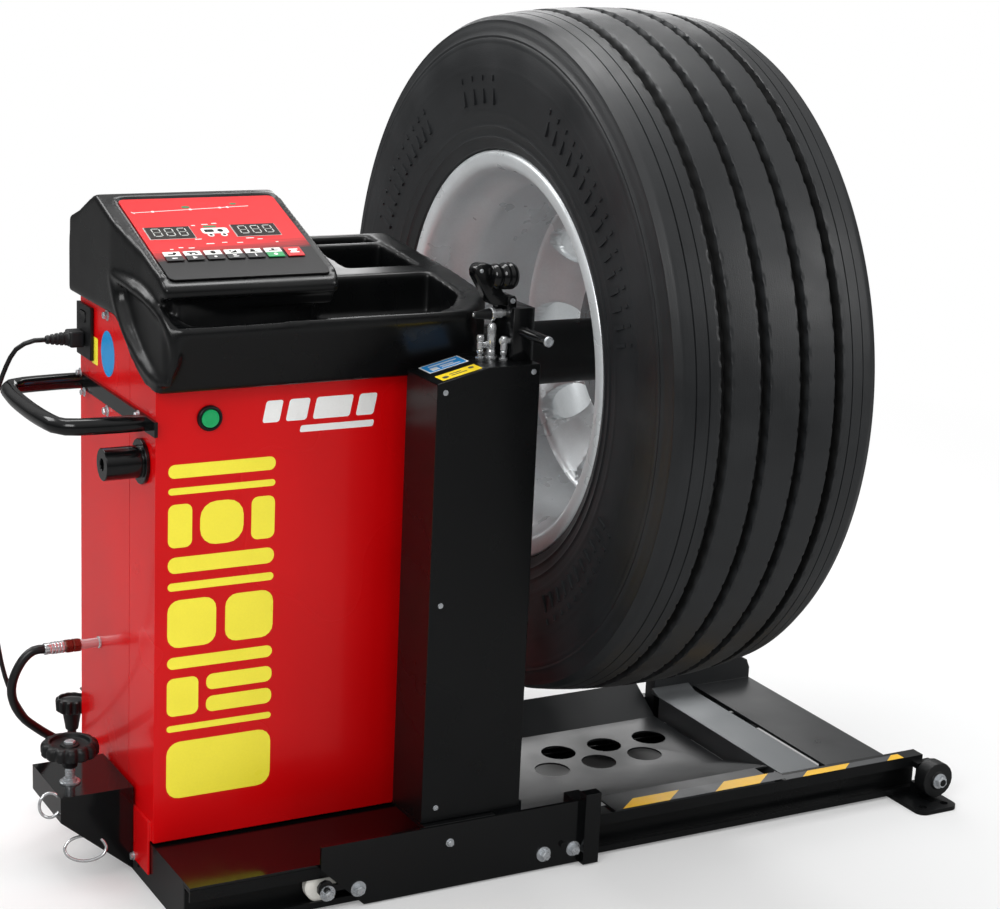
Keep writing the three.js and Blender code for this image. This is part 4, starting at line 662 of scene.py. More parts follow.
def shaped(target, tools=(), bevel=0.0, segments=2, angle=35, voxel=0.0, ease=0):
    """The target's mesh after cuts (operation, tool), remesh, easing and bevel. The objects are removed."""
    for operation, tool in tools:
        cut = target.modifiers.new("cut", "BOOLEAN")
        cut.operation = operation
        cut.object = tool
        cut.solver = "EXACT"
    if voxel:
        grid = target.modifiers.new("grid", "REMESH")
        grid.mode = "VOXEL"
        grid.voxel_size = voxel
    if ease:
        soften = target.modifiers.new("soften", "SMOOTH")
        soften.factor = 0.5
        soften.iterations = ease
    if bevel:
        edge = target.modifiers.new("edge", "BEVEL")
        edge.width = bevel
        edge.segments = segments
        edge.limit_method = "ANGLE"
        edge.angle_limit = math.radians(angle)
        edge.miter_outer = "MITER_ARC"
        flat = target.modifiers.new("flat", "WEIGHTED_NORMAL")
        flat.keep_sharp = False
    bpy.context.view_layer.update()
    depth = bpy.context.evaluated_depsgraph_get()
    made = bpy.data.meshes.new_from_object(target.evaluated_get(depth), preserve_all_data_layers=True,
                                           depsgraph=depth)
    for tool in [target, *(tool for operation, tool in tools)]:
        spare = tool.data
        bpy.data.objects.remove(tool)
        bpy.data.meshes.remove(spare)
    return made


disc_mesh = shaped(disc_blank, [("DIFFERENCE", disc_punch)], bevel=0.0022, segments=2, angle=50)
keep("rim_disc", disc_mesh, silver_lacquer, "wheel_shaft", smooth=44)


# Bars on the tyre's walls
# Rings of plain raised bars stand on both walls where a mould puts its marks. They are moulded with the
# tyre, of the same rubber.
def places_tree(name):
    """A Geometry Nodes tree that takes places and gives what it sets on them."""
    tree = bpy.data.node_groups.new(name, "GeometryNodeTree")
    for way in ("INPUT", "OUTPUT"):
        tree.interface.new_socket(name="Geometry", in_out=way, socket_type="NodeSocketGeometry")
    return tree


def set_out(name, tree, places, aims, values):
    """The mesh that the tree makes on the places, each with its aim. values pairs sockets with values."""
    points = bpy.data.meshes.new(name + "_places")
    points.from_pydata(places, [], [])
    pointing = points.attributes.new("aim", "FLOAT_VECTOR", "POINT")
    for i, way in enumerate(aims):
        pointing.data[i].vector = way
    holder = placed(name + "_places", points)
    modifier = holder.modifiers.new(name, "NODES")
    modifier.node_group = tree
    for socket, value in values:
        modifier[socket.identifier] = value
    bpy.context.view_layer.update()
    made = bpy.data.meshes.new_from_object(holder.evaluated_get(bpy.context.evaluated_depsgraph_get()))
    holder.modifiers.clear()
    bpy.data.objects.remove(holder)
    return made


def blocks(name, places, aims, size, material, smallest=1.0):
    """A block on each place, its height along the place's aim, cut at random down to the smallest share."""
    tree = places_tree(name)
    block_size = tree.interface.new_socket(name="Block size", in_out="INPUT", socket_type="NodeSocketVector")
    least = tree.interface.new_socket(name="Smallest share", in_out="INPUT", socket_type="NodeSocketFloat")
    given = put(tree, "NodeGroupInput")
    block = put(tree, "GeometryNodeMeshCube", {"Size": given.outputs["Block size"]})
    aim = put(tree, "GeometryNodeInputNamedAttribute", {"Name": "aim"}, data_type="FLOAT_VECTOR")
    face = put(tree, "FunctionNodeAlignRotationToVector", {"Vector": aim.outputs["Attribute"]}, axis="Z",
               pivot_axis="X")
    vary = put(tree, "FunctionNodeRandomValue", {2: given.outputs["Smallest share"], 3: 1.0, "Seed": 7},
               data_type="FLOAT")
    stretch = put(tree, "ShaderNodeCombineXYZ", {0: 1.0, 1: vary.outputs[1], 2: vary.outputs[1]})
    spots = put(tree, "GeometryNodeInstanceOnPoints", {
        "Points": given.outputs["Geometry"], "Instance": block.outputs[0], "Rotation": face.outputs[0],
        "Scale": stretch.outputs[0]})
    solid = put(tree, "GeometryNodeRealizeInstances", {0: spots.outputs[0]})
    dressed = put(tree, "GeometryNodeSetMaterial", {0: solid.outputs[0], "Material": material})
    put(tree, "NodeGroupOutput", {0: dressed.outputs[0]})
    return set_out(name, tree, places, aims, ((block_size, [s / 1000 for s in size]), (least, smallest)))


bar_angles = []
for start, end, pitch in ((22, 58, 3.3), (74, 92, 4.5), (112, 168, 3.6), (205, 240, 3.3), (262, 300, 3.9),
                          (318, 345, 3.1)):
    angle = start
    while angle < end:
        bar_angles.append(math.radians(angle))
        angle += pitch
# Each ring of bars: place along the shaft, radius, and a bar's depth, width and length in mm
bar_rings = ((-161.0, 402, (5, 6, 26)), (203.0, 402, (5, 6, 26)), (-163.2, 430, (4, 4, 9)),
             (205.2, 430, (4, 4, 9)))
bar_aims = [Vector((0, math.cos(a), math.sin(a))) for a in bar_angles]
joined("tyre_wall_bars", [
    blocks("wall_bars", [hub + Vector((x, radius * aim.y, radius * aim.z)) / 1000 for aim in bar_aims],
           bar_aims, size, tyre_finish, 0.82) for x, radius, size in bar_rings
], tyre_finish, "wheel_shaft", smooth=20)


# Shaft, cone, cup and quick nut
# The steel spindle turns in two bearings inside a black tube. A centring cone stands behind the disc and
# a cup in front of it, and the quick nut with its two wings screws up against the cup. All are turned.

# Bare turned steel: bright, with tool marks running round
turned_steel = surface("turned_steel", "B9BBBC", 0.24, metal=1.0, grain=1.2, relief=0.01, drift=0.06,
                       patch=30, stretch=(6, 1, 1))
# Zinc plate on fasteners: pale bluish grey, a little cloudy
zinc_plate = surface("zinc_plating", "C8CCD0", 0.28, metal=0.68, grain=2, relief=0.01, drift=0.08, patch=14)
# Black lacquer on steel sheet and tube: satin, with faint orange peel
satin_black = surface("satin_black_lacquer", "0C0D0E", 0.3, grain=4, relief=0.03, drift=0.12, patch=120,
                      scuff=0.03, shine=0.3)


def worked(name, node, material, body, width=1.2, segments=2, angle=30, tools=()):
    """A copy of a solid with merged points, clean faces and rounded edges, which stands for the solid."""
    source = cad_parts[node].data.copy()
    work = bmesh.new()
    work.from_mesh(source)
    bmesh.ops.remove_doubles(work, verts=work.verts, dist=0.00002)
    bmesh.ops.dissolve_limit(work, angle_limit=math.radians(1), verts=work.verts, edges=work.edges)
    work.to_mesh(source)
    work.free()
    soft_shade(source, angle)
    blank = placed(name + "_blank", source)
    made = shaped(blank, tools, bevel=width / 1000, segments=segments, angle=angle)
    return keep(name, made, material, body, (node,), smooth=0)


shaft_tube_profile = ((-590, 21), (-590, 46), (-586, 50), (40, 50), (42, 51.5), (62, 51.5), (64, 50),
                      (68, 50), (70, 48), (70, 42), (60, 40), (60, 36), (-560, 36), (-560, 21))
keep("shaft_tube", turned_mesh("shaft_tube", (1, 0, 0), hub, shaft_tube_profile, 96, True), satin_black,
     "frame", ("shaft_housing",))
worked("spindle_turned", "spindle", turned_steel, "wheel_shaft", width=1.0)
worked("drive_drum_turned", "drive_drum", turned_steel, "wheel_shaft", width=1.0)
worked("encoder_disc_slotted", "encoder_disc", turned_steel, "wheel_shaft", width=0.4)
worked("centring_cone_turned", "centring_cone", turned_steel, "wheel_shaft", width=1.4)
worked("clamping_cup_turned", "clamping_cup", satin_black, "wheel_shaft", width=2.2,
       segments=3)
worked("quick_nut_forged", "quick_nut", zinc_plate, "nut", width=3.0, segments=3)


# Cabinet
# A box of 3 mm folded steel sheet in two halves that meet at a seam down the left side, powder coated
# gloss red. The front half carries the start button, and a flange folded outwards at its lower left corner.
def gloss_red():
    made = bare_material("gloss_red_powder_coat")
    tree = made.node_tree
    place = put(tree, "ShaderNodeTexCoord")
    # Orange peel of the powder, about 2.5 mm from crest to crest, and slow waves of the rolled sheet
    peel = put(tree, "ShaderNodeTexNoise", {0: place.outputs["Object"], "Scale": 400.0, "Detail": 1.0})
    sag = put(tree, "ShaderNodeTexNoise", {0: place.outputs["Object"], "Scale": 5.0, "Detail": 1.0})
    tone = put(tree, "ShaderNodeMapRange", {0: sag.outputs[0], 1: 0.3, 2: 0.7, 3: 0.93, 4: 1.06})
    colour = put(tree, "ShaderNodeVectorMath", {0: tint("CE0409")[:3], 3: tone.outputs[0]}, operation="SCALE")
    haze = put(tree, "ShaderNodeMapRange", {0: sag.outputs[0], 1: 0.3, 2: 0.7, 3: 0.2, 4: 0.3})
    both = put(tree, "ShaderNodeMath", {0: sag.outputs[0], 1: 8.0, 2: peel.outputs[0]},
               operation="MULTIPLY_ADD")
    bump = put(tree, "ShaderNodeBump", {"Strength": 0.35, "Distance": 0.00008, "Height": both.outputs[0]})
    shader = put(tree, "ShaderNodeBsdfPrincipled", {
        "Base Color": colour.outputs[0], "Roughness": haze.outputs[0], "Normal": bump.outputs[0],
        "Specular IOR Level": 0.22, "Coat Weight": 0.2, "Coat Roughness": 0.04})
    put(tree, "ShaderNodeOutputMaterial", {0: shader.outputs[0]})
    return made


red_coat = gloss_red()
worked("cabinet_front_half", "cabinet_front", red_coat, "frame", width=2.0, segments=3)
worked("cabinet_rear_half", "cabinet_rear", red_coat, "frame", width=2.0, segments=3)
# Circuit board: green solder mask over copper
solder_mask = surface("green_solder_mask", "1C6A3C", 0.35, grain=3, relief=0.03, drift=0.15, patch=12)
worked("control_board", "power_board", solder_mask, "frame", width=0.4)
worked("drive_motor_case", "drive_motor", satin_black, "frame", width=2.0)
worked("motor_friction_wheel", "motor_wheel", hose_rubber, "friction_wheel", width=1.0)


# Film on the cabinet
# Cut vinyl stuck on the red paint: plain yellow bands and rounds up the front, and small white and
# coloured plates.
# The shapes are this part's own and stand for nothing.
vinyl_yellow = surface("vinyl_film_yellow", "FBEC3C", 0.32, grain=3, relief=0.01, drift=0.03, patch=80)
vinyl_white = surface("vinyl_film_white", "F2F2F0", 0.32, grain=3, relief=0.01, drift=0.03, patch=60)
vinyl_blue = surface("vinyl_film_blue", "1F8FCF", 0.32, grain=3, relief=0.01, drift=0.04, patch=30)


def extruded(work, base, way):
    """Grows a straight block from a flat outline of points."""
    grown = bmesh.ops.extrude_face_region(work, geom=[work.faces.new(base)])
    moved = [g for g in grown["geom"] if isinstance(g, bmesh.types.BMVert)]
    bmesh.ops.translate(work, vec=way, verts=moved)


def film_mesh(name, face, shapes, lift, thick):
    """Flat film shapes on a face (origin, right, up). Each shape is a list of (right, up) points in mm."""
    origin, right, up_way = (Vector(part) for part in face)
    out = right.cross(up_way).normalized()
    work = bmesh.new()
    for shape in shapes:
        base = [work.verts.new(origin + (right * u + up_way * v + out * lift) / 1000) for u, v in shape]
        extruded(work, base, out * thick / 1000)
    bmesh.ops.recalc_face_normals(work, faces=work.faces)
    bmesh.ops.triangulate(work, faces=work.faces)
    return written(name, work)


def film(name, face, shapes, material, body="frame", slot="key_white", lift=0.12, thick=0.22):
    """A piece made of film shapes, all of one material."""
    return keep(name, film_mesh(name, face, shapes, lift, thick), material, body, smooth=20)


def rounded_plate(u0, v0, u1, v1, radius, lean=0.0):
    """A plate's outline with rounded corners, leaning by a share of its height."""
    points = []
    for cu, cv, start in ((u1 - radius, v0 + radius, -90), (u1 - radius, v1 - radius, 0),
                          (u0 + radius, v1 - radius, 90), (u0 + radius, v0 + radius, 180)):
        for step in range(5):
            angle = math.radians(start + step * 22.5)
            v = cv + radius * math.sin(angle)
            points.append((cu + radius * math.cos(angle) + lean * (v - v0), v))
    return points


def plates(*outlines):
    """Rounded plates, each given as left, foot, right, top, corner radius and lean."""
    return [rounded_plate(*outline) for outline in outlines]


front_face = (at(0, -140, 0), (1, 0, 0), (0, 0, 1))
side_face = (at(-757, 0, 0), (0, -1, 0), (0, 0, 1))
film("front_bands_yellow", front_face, plates(
    (-738, 144, -576, 232, 20), (-738, 248, -576, 258, 5), (-738, 272, -690, 330, 10),
    (-678, 272, -576, 296, 10), (-678, 306, -576, 330, 10), (-738, 344, -576, 362, 9),
    (-738, 376, -664, 448, 18), (-650, 376, -576, 448, 18), (-738, 462, -576, 474, 6),
    (-738, 488, -576, 512, 11), (-738, 526, -702, 590, 10), (-690, 526, -624, 590, 24),
    (-612, 526, -576, 590, 10), (-738, 604, -576, 614, 5), (-738, 628, -576, 648, 9)), vinyl_yellow)
film("front_plates_white", front_face, plates(
    (-598, 698, -572, 730, 4, 0.2), (-562, 698, -530, 730, 4, 0.2), (-520, 698, -462, 730, 4, 0.2),
    (-452, 698, -424, 730, 4, 0.2), (-540, 680, -424, 690, 3, 0.2)), vinyl_white)
film("side_plate_yellow", side_face, plates((-137, 738, -109, 779, 3)), vinyl_yellow)
oval = [(-64 + 30 * math.cos(a * math.pi / 16), 766 + 34 * math.sin(a * math.pi / 16)) for a in range(32)]
film("side_plate_blue", side_face, [oval], vinyl_blue)


# Console
# One large moulding of black ABS that sits over the cabinet: a sloping hood for the panel on a lower
# shelf with a trough and two pockets. Its corners are soft, and two raised ribs run down its left flank
# to the front corner.

# Moulded ABS: fine leather grain about 1 mm across, silky, with clear highlights along the edges
moulded_abs = surface("moulded_abs_black", "0A0B0C", 0.29, grain=1.1, relief=0.03, drift=0.1, patch=110,
                      scuff=0.03, shine=0.45)


def prism(name, points, low, high, along):
    """A straight block from low to high along an axis, its outline drawn along the two other axes."""
    work = bmesh.new()
    spots = {"x": [at(low, a, b) for a, b in points], "y": [at(a, low, b) for a, b in points],
             "z": [at(a, b, low) for a, b in points]}[along]
    base = [work.verts.new(spot) for spot in spots]
    extruded(work, base, Vector([high - low if axis == along else 0 for axis in "xyz"]) / 1000)
    return placed(name, written(name, work))


def bead(name, places, radius):
    """A round rib along a smooth line through the places, thinner towards its closed ends."""
    return tube_mesh(name, smooth_path([at(*p) for p in places], 40), radius / 1000, 12,
                     lambda i: 0.35 + 0.65 * math.sin(math.pi * min(max(i / 39, 0.06), 0.94)) ** 0.4)


low_side = ((195, 837), (195, 906), (-5, 890), (-48, 886), (-150, 872), (-203, 853), (-206, 846), (-165, 756),
            (-150, 756), (-118, 762), (-84, 778), (-58, 800), (-36, 824), (-11, 838))
hood_side = ((195, 890), (190, 951), (150, 965), (84, 996), (68, 1000), (-181, 914), (-190, 908), (-192, 900),
             (-187, 893), (-166, 887), (-156, 870), (-5, 854), (195, 854))
plan_view = ((-775, 197), (-775, 0), (-769, -100), (-766, -150), (-760, -180), (-748, -200), (-736, -207),
             (-312, -207), (-284, -186), (-250, -150), (-250, 197))
hood_plan = ((-775, 200), (-775, 0), (-765, -100), (-763, -194), (-512, -194), (-502, -180), (-500, -150),
             (-500, 200))
console = prism("console_body", low_side, -775, -250, "x")
hood = prism("console_hood", hood_side, -775, -500, "x")
hood_clip = prism("console_hood_clip", hood_plan, 700, 1020, "z")
plan_clip = prism("console_clip", plan_view, 700, 1020, "z")
hood = placed("console_hood", shaped(hood, [("INTERSECT", hood_clip)]))
# The hood's slope starts at its brow's edge and rises 85 mm over 244 mm
hood_slope = math.atan2(85, 244)
brow_depth = -176
brow_height = 915


def on_slope(x, up_way, lift):
    """A place on the hood: x, then mm up the slope from the brow's edge, then mm above the slope."""
    return at(x, brow_depth + up_way * math.cos(hood_slope) - lift * math.sin(hood_slope),
              brow_height + up_way * math.sin(hood_slope) + lift * math.cos(hood_slope))


# The frame round the panel stands 5 mm proud at the top and both sides
frame_path = [on_slope(x, s, 0.6) for x, s in (
    (-758, 8), (-758, 60), (-758, 120), (-758, 180), (-758, 226), (-756, 238), (-747, 243), (-700, 244),
    (-640, 244), (-580, 244), (-522, 243), (-511, 239), (-506, 228), (-505.5, 180), (-505.5, 120),
    (-505.5, 60), (-505.5, 8))]
frame_rib = tube_mesh("frame_rib", smooth_path(frame_path, 90), 0.0048, 12)
panel_bed = prism("panel_bed", ((0, 0), (1, 0), (1, 1), (0, 1)), 0, 1, "z")
for vertex, (x, s, h) in zip(panel_bed.data.vertices, (
        (-751.5, -1, -1.2), (-510.5, -1, -1.2), (-510.5, 237, -1.2), (-751.5, 237, -1.2),
        (-751.5, -1, 12), (-510.5, -1, 12), (-510.5, 237, 12), (-751.5, 237, 12))):
    vertex.co = on_slope(x, s, h)
flank_rib_outer_path = ((-768, 22, 905), (-771, 2, 889), (-771, -19, 860), (-770, -61, 822),
                        (-767, -102, 796), (-764, -144, 779), (-760, -172, 774), (-754, -190, 777))
flank_rib_inner_path = ((-768, 26, 902), (-771, -10, 896), (-770, -46, 894), (-769, -92, 891),
                        (-766, -136, 884), (-760, -170, 870), (-754, -188, 847), (-749, -193, 814),
                        (-752, -186, 790), (-758, -176, 776))
front_rim_path = ((-740, -200, 854), (-700, -200.5, 853.5), (-560, -200.5, 853.5), (-420, -200.5, 853.5),
                  (-345, -200.5, 853.5), (-312, -199, 854), (-288, -180, 857), (-262, -150, 864),
                  (-256, -110, 872), (-256, 0, 884), (-256, 120, 896), (-257, 180, 903))
ribs = [
    bead("flank_rib_outer", flank_rib_outer_path, 8.5),
    bead("flank_rib_inner", flank_rib_inner_path, 8.5),
    bead("front_rim", front_rim_path, 5.0),
]
flank_scoop_outline = ((-24, 886), (-60, 882), (-120, 876), (-160, 862), (-180, 838), (-184, 806),
                       (-172, 788), (-146, 788), (-105, 806), (-64, 832), (-30, 864))
scoop = prism("flank_scoop", flank_scoop_outline, -790, -761.5, "x")
mound = prism("trough_bank", ((-745, -170), (-500, -112), (-485, -60), (-500, -20), (-745, -20)), 800, 889,
              "z")
trough_well_outline = ((-724, -191), (-350, -191), (-320, -176), (-298, -150), (-294, -132), (-294, -48),
                       (-478, -48), (-486, -60), (-498, -100), (-520, -130), (-738, -166))
trough = prism("trough_well", trough_well_outline, 823.5, 1010, "z")
# The pocket is deeper than the shelf, so its floor hangs as a tub into the cabinet's open top
tub = prism("pocket_tub", ((-414, -11), (-286, -11), (-286, 134), (-414, 134)), 825, 845, "z")
pocket = prism("pocket_well", ((-408, -5), (-292, -5), (-292, 128), (-408, 128)), 833.5, 1010, "z")
rear_pocket = prism("rear_pocket_well", ((-488, 142), (-292, 142), (-292, 178), (-488, 178)), 848.5, 1010,
                    "z")
# The hood comes after the trough, so that its brow hangs over the trough's back
body_mesh = shaped(console, [
    ("INTERSECT", plan_clip), ("UNION", mound), ("UNION", tub), ("DIFFERENCE", trough),
    ("DIFFERENCE", pocket), ("DIFFERENCE", rear_pocket), ("UNION", hood), ("DIFFERENCE", panel_bed),
    ("DIFFERENCE", scoop)])
# The remesh joins whatever overlaps, so the ribs are only laid in
console = placed("console_rough", merged("console_rough", [body_mesh, *ribs, frame_rib]))
console = placed("console_soft", shaped(console, voxel=0.0032, ease=18))
# The underside is open: the moulding is a shell over the cabinet's top
console_hollow_outline = ((191, 740), (191, 829), (-42, 829), (-44, 817), (-146, 817), (-160, 790),
                          (-151, 750), (-100, 740))
hollow = prism("console_hollow", console_hollow_outline, -757.6, -262, "x")
shell_mesh = shaped(console, [("DIFFERENCE", hollow)])
keep("console_moulding", shell_mesh, moulded_abs, "frame", ("console_shell",), smooth=46)


# Control panel
# A printed polyester film on the hood, red that fades to black below, under two smoked windows with
# unlit digits and a row of seven membrane keys. Its marks are plain bars, rounds and rings, with no words.
panel_up = Vector((0, math.cos(hood_slope), math.sin(hood_slope)))
panel_origin = on_slope(0, 0, 0)
panel_face = (panel_origin, (1, 0, 0), panel_up)
panel_left = -750


def panel_film():
    made = bare_material("printed_polyester_film")
    tree = made.node_tree
    place = put(tree, "ShaderNodeTexCoord")
    from_edge = put(tree, "ShaderNodeVectorMath", {0: place.outputs["Object"], 1: on_slope(panel_left, 0, 0)},
                    operation="SUBTRACT")
    # The fade runs up the slope and leans by a tenth. Its edge breaks into print lines about 2 mm apart
    climb = put(tree, "ShaderNodeVectorMath", {0: from_edge.outputs[0], 1: panel_up - Vector((0.104, 0, 0))},
                operation="DOT_PRODUCT")
    lined = put(tree, "ShaderNodeMapping", {0: from_edge.outputs[0], 3: (12, 500, 500)})
    print_lines = put(tree, "ShaderNodeTexNoise", {0: lined.outputs[0], "Scale": 1.0, "Detail": 1.0})
    shift = put(tree, "ShaderNodeMath", {0: print_lines.outputs[0], 1: 0.03, 2: climb.outputs["Value"]},
                operation="MULTIPLY_ADD")
    fade = put(tree, "ShaderNodeMapRange", {0: shift.outputs[0], 1: 0.066, 2: 0.1, 3: 0.0, 4: 1.0})
    cloud = put(tree, "ShaderNodeTexNoise", {0: place.outputs["Object"], "Scale": 14.0, "Detail": 2.0})
    deep = put(tree, "ShaderNodeMix", {0: cloud.outputs[0], 6: tint("D2121A"), 7: tint("E41C22")},
               data_type="RGBA")
    colour = put(tree, "ShaderNodeMix", {0: fade.outputs[0], 6: tint("141314"), 7: deep.outputs[2]},
                 data_type="RGBA")
    grain = put(tree, "ShaderNodeTexNoise", {0: place.outputs["Object"], "Scale": 1600.0})
    bump = put(tree, "ShaderNodeBump", {"Strength": 0.3, "Distance": 0.00003, "Height": grain.outputs[0]})
    shader = put(tree, "ShaderNodeBsdfPrincipled", {
        "Base Color": colour.outputs[2], "Roughness": 0.34, "Normal": bump.outputs[0],
        "Specular IOR Level": 0.3})
    put(tree, "ShaderNodeOutputMaterial", {0: shader.outputs[0]})
    return made


sheet_blank = placed("sheet_blank", film_mesh(
    "sheet_blank", panel_face, plates((panel_left, 2, -512, 234.4, 9)), 0.3, 2.0))
# A shallow pocket under each key takes its cap when it is pressed
key_pitch = 30
pocket_shapes = [rounded_plate(-737.9 + key_pitch * i, 49.6, -712.1 + key_pitch * i, 75.4, 0.9)
                 for i in range(7)]
key_pockets = placed("key_pockets", film_mesh("key_pockets", panel_face, pocket_shapes, 1.8, 2.0))
sheet_mesh = shaped(sheet_blank, [("DIFFERENCE", key_pockets)])
keep("panel_film", sheet_mesh, panel_film(), "frame", ("control_panel",), smooth=20)
# Smoked acrylic over unlit digits: nearly black, glossy
smoked_acrylic = surface("smoked_acrylic", "2A2523", 0.12, grain=2, relief=0.004, drift=0.04, patch=30,
                         shine=0.5)
print_grey = surface("screen_print_pale_grey", "C4C6C2", 0.4, grain=1, relief=0.005, drift=0.04, patch=20)
print_white = surface("screen_print_white", "F4F4F2", 0.4, grain=1, relief=0.005, drift=0.03, patch=20)
print_green = surface("screen_print_green", "1F7A46", 0.4, grain=1, relief=0.005, drift=0.04, patch=20)
worked("window_left", "display_left", smoked_acrylic, "frame", width=0.5)
worked("window_right", "display_right", smoked_acrylic, "frame", width=0.5)
# The two windows: their left edges, foot, width and height, and the width of the printed line round them
window_lefts = (-739.5, -610.0)
window_foot = 115.4
window_wide = 66
window_tall = 32
line_wide = 1.4
outlines = []
for left in window_lefts:
    right = left + window_wide
    top = window_foot + window_tall
    for u0, v0, u1, v1 in ((left - line_wide, window_foot - line_wide, right + line_wide, window_foot),
                           (left - line_wide, top, right + line_wide, top + line_wide),
                           (left - line_wide, window_foot, left, top),
                           (right, window_foot, right + line_wide, top)):
        outlines.append([(u0, v0), (u1, v0), (u1, v1), (u0, v1)])
film("window_outlines", panel_face, outlines, print_grey, lift=2.35, thick=0.15)
digit_width = 11.5
digit_height = 21
digit_middle = 131.4
stroke = 1.5
upright_places = []
level_places = []
for left in window_lefts:
    for digit in range(3):
        x = left + 14 + digit * 19
        for side in (-1, 1):
            for half in (-1, 1):
                upright_places.append(on_slope(x + side * digit_width / 2,
                                               digit_middle + half * digit_height / 4, 4.0))
                level_places.append(on_slope(x, digit_middle + side * digit_height / 2 * (half > 0), 4.0))
uprights = blocks("digit_uprights", upright_places, [panel_up] * len(upright_places),
                  (stroke, 0.2, digit_height / 2 - stroke - 0.8), print_grey)
levels = blocks("digit_levels", level_places, [panel_up] * len(level_places),
                (digit_width - stroke - 0.8, 0.2, stroke), print_grey)
joined("digits_unlit", (uprights, levels), print_grey, "frame", smooth=20)


def disc_shape(u, v, radius, squash=1.0):
    """A round of twenty sides, or an oval one when its height is squashed."""
    turns = [2 * math.pi * i / 20 for i in range(20)]
    return [(u + radius * math.cos(t), v + radius * squash * math.sin(t)) for t in turns]


line_marks = [[(-739, 193.4), (-561, 203.4), (-561, 204.6), (-739, 194.6)],
              [(-742, 196), (-738, 191), (-737, 192), (-741, 197)]]
line_marks += [disc_shape(u, 194 + (u + 739) * 0.0562, 2.4) for u in (-710, -652, -606, -594)]
line_marks += [rounded_plate(u, v, u + w, v + 2.0, 0.6) for u, v, w in (
    (-652, 152, 10), (-636, 154, 8), (-668, 150, 6), (-618, 96, 9), (-640, 98, 8), (-664, 96, 12),
    (-600, 108, 12), (-694, 86, 9), (-708, 88, 7), (-584, 104, 8), (-676, 110, 10), (-722, 84, 5),
    (-560, 94, 4))]
line_marks += [rounded_plate(-658, 126, -618, 142, 4), disc_shape(-648, 122, 5), disc_shape(-628, 122, 5)]
film("panel_marks_white", panel_face, line_marks, print_white, lift=2.35, thick=0.12)
film("panel_marks_grey", panel_face, [
    rounded_plate(-654, 130, -640, 138, 2), disc_shape(-630, 134, 4.4), disc_shape(-648, 122, 2.6),
    disc_shape(-628, 122, 2.6)],
    smoked_acrylic, slot="display_dark", lift=2.5, thick=0.12)
film("panel_marks_green", panel_face, [
    disc_shape(-657, 206, 6.5, squash=0.55), disc_shape(-582, 212, 5, squash=0.5),
    rounded_plate(-652, 144, -632, 149, 2.2)],
    print_green, slot="key_green", lift=2.35, thick=0.12)


# Membrane keys
# Seven domed caps of printed polyester that each press in by 0.6 mm. The upper half is white and the
# lower half black, but for one with a green foot and a red last one. Each bears a plain round, bar or
# wedge.
def key_film(name, upper, lower):
    made = bare_material(name)
    tree = made.node_tree
    place = put(tree, "ShaderNodeTexCoord")
    from_edge = put(tree, "ShaderNodeVectorMath", {0: place.outputs["Object"], 1: panel_origin},
                    operation="SUBTRACT")
    climb = put(tree, "ShaderNodeVectorMath", {0: from_edge.outputs[0], 1: panel_up}, operation="DOT_PRODUCT")
    half = put(tree, "ShaderNodeMapRange", {0: climb.outputs["Value"], 1: 0.0622, 2: 0.0626, 3: 0.0, 4: 1.0})
    colour = put(tree, "ShaderNodeMix", {0: half.outputs[0], 6: tint(lower), 7: tint(upper)},
                 data_type="RGBA")
    wear = put(tree, "ShaderNodeTexNoise", {0: place.outputs["Object"], "Scale": 160.0, "Detail": 3.0})
    gloss = put(tree, "ShaderNodeMapRange", {0: wear.outputs[0], 1: 0.3, 2: 0.7, 3: 0.28, 4: 0.42})
    bump = put(tree, "ShaderNodeBump", {"Strength": 0.2, "Distance": 0.00004, "Height": wear.outputs[0]})
    shader = put(tree, "ShaderNodeBsdfPrincipled", {
        "Base Color": colour.outputs[2], "Roughness": gloss.outputs[0], "Normal": bump.outputs[0]})
    put(tree, "ShaderNodeOutputMaterial", {0: shader.outputs[0]})
    return made


key_plain = key_film("polyester_key_white_black", "EEEEEA", "161617")
key_start = key_film("polyester_key_white_green", "EEEEEA", "1E9A56")
key_stop = key_film("polyester_key_red", "CE1720", "CE1720")
key_kinds = [(key_plain, "key_white")] * 5 + [(key_start, "key_green"), (key_stop, "key_red")]
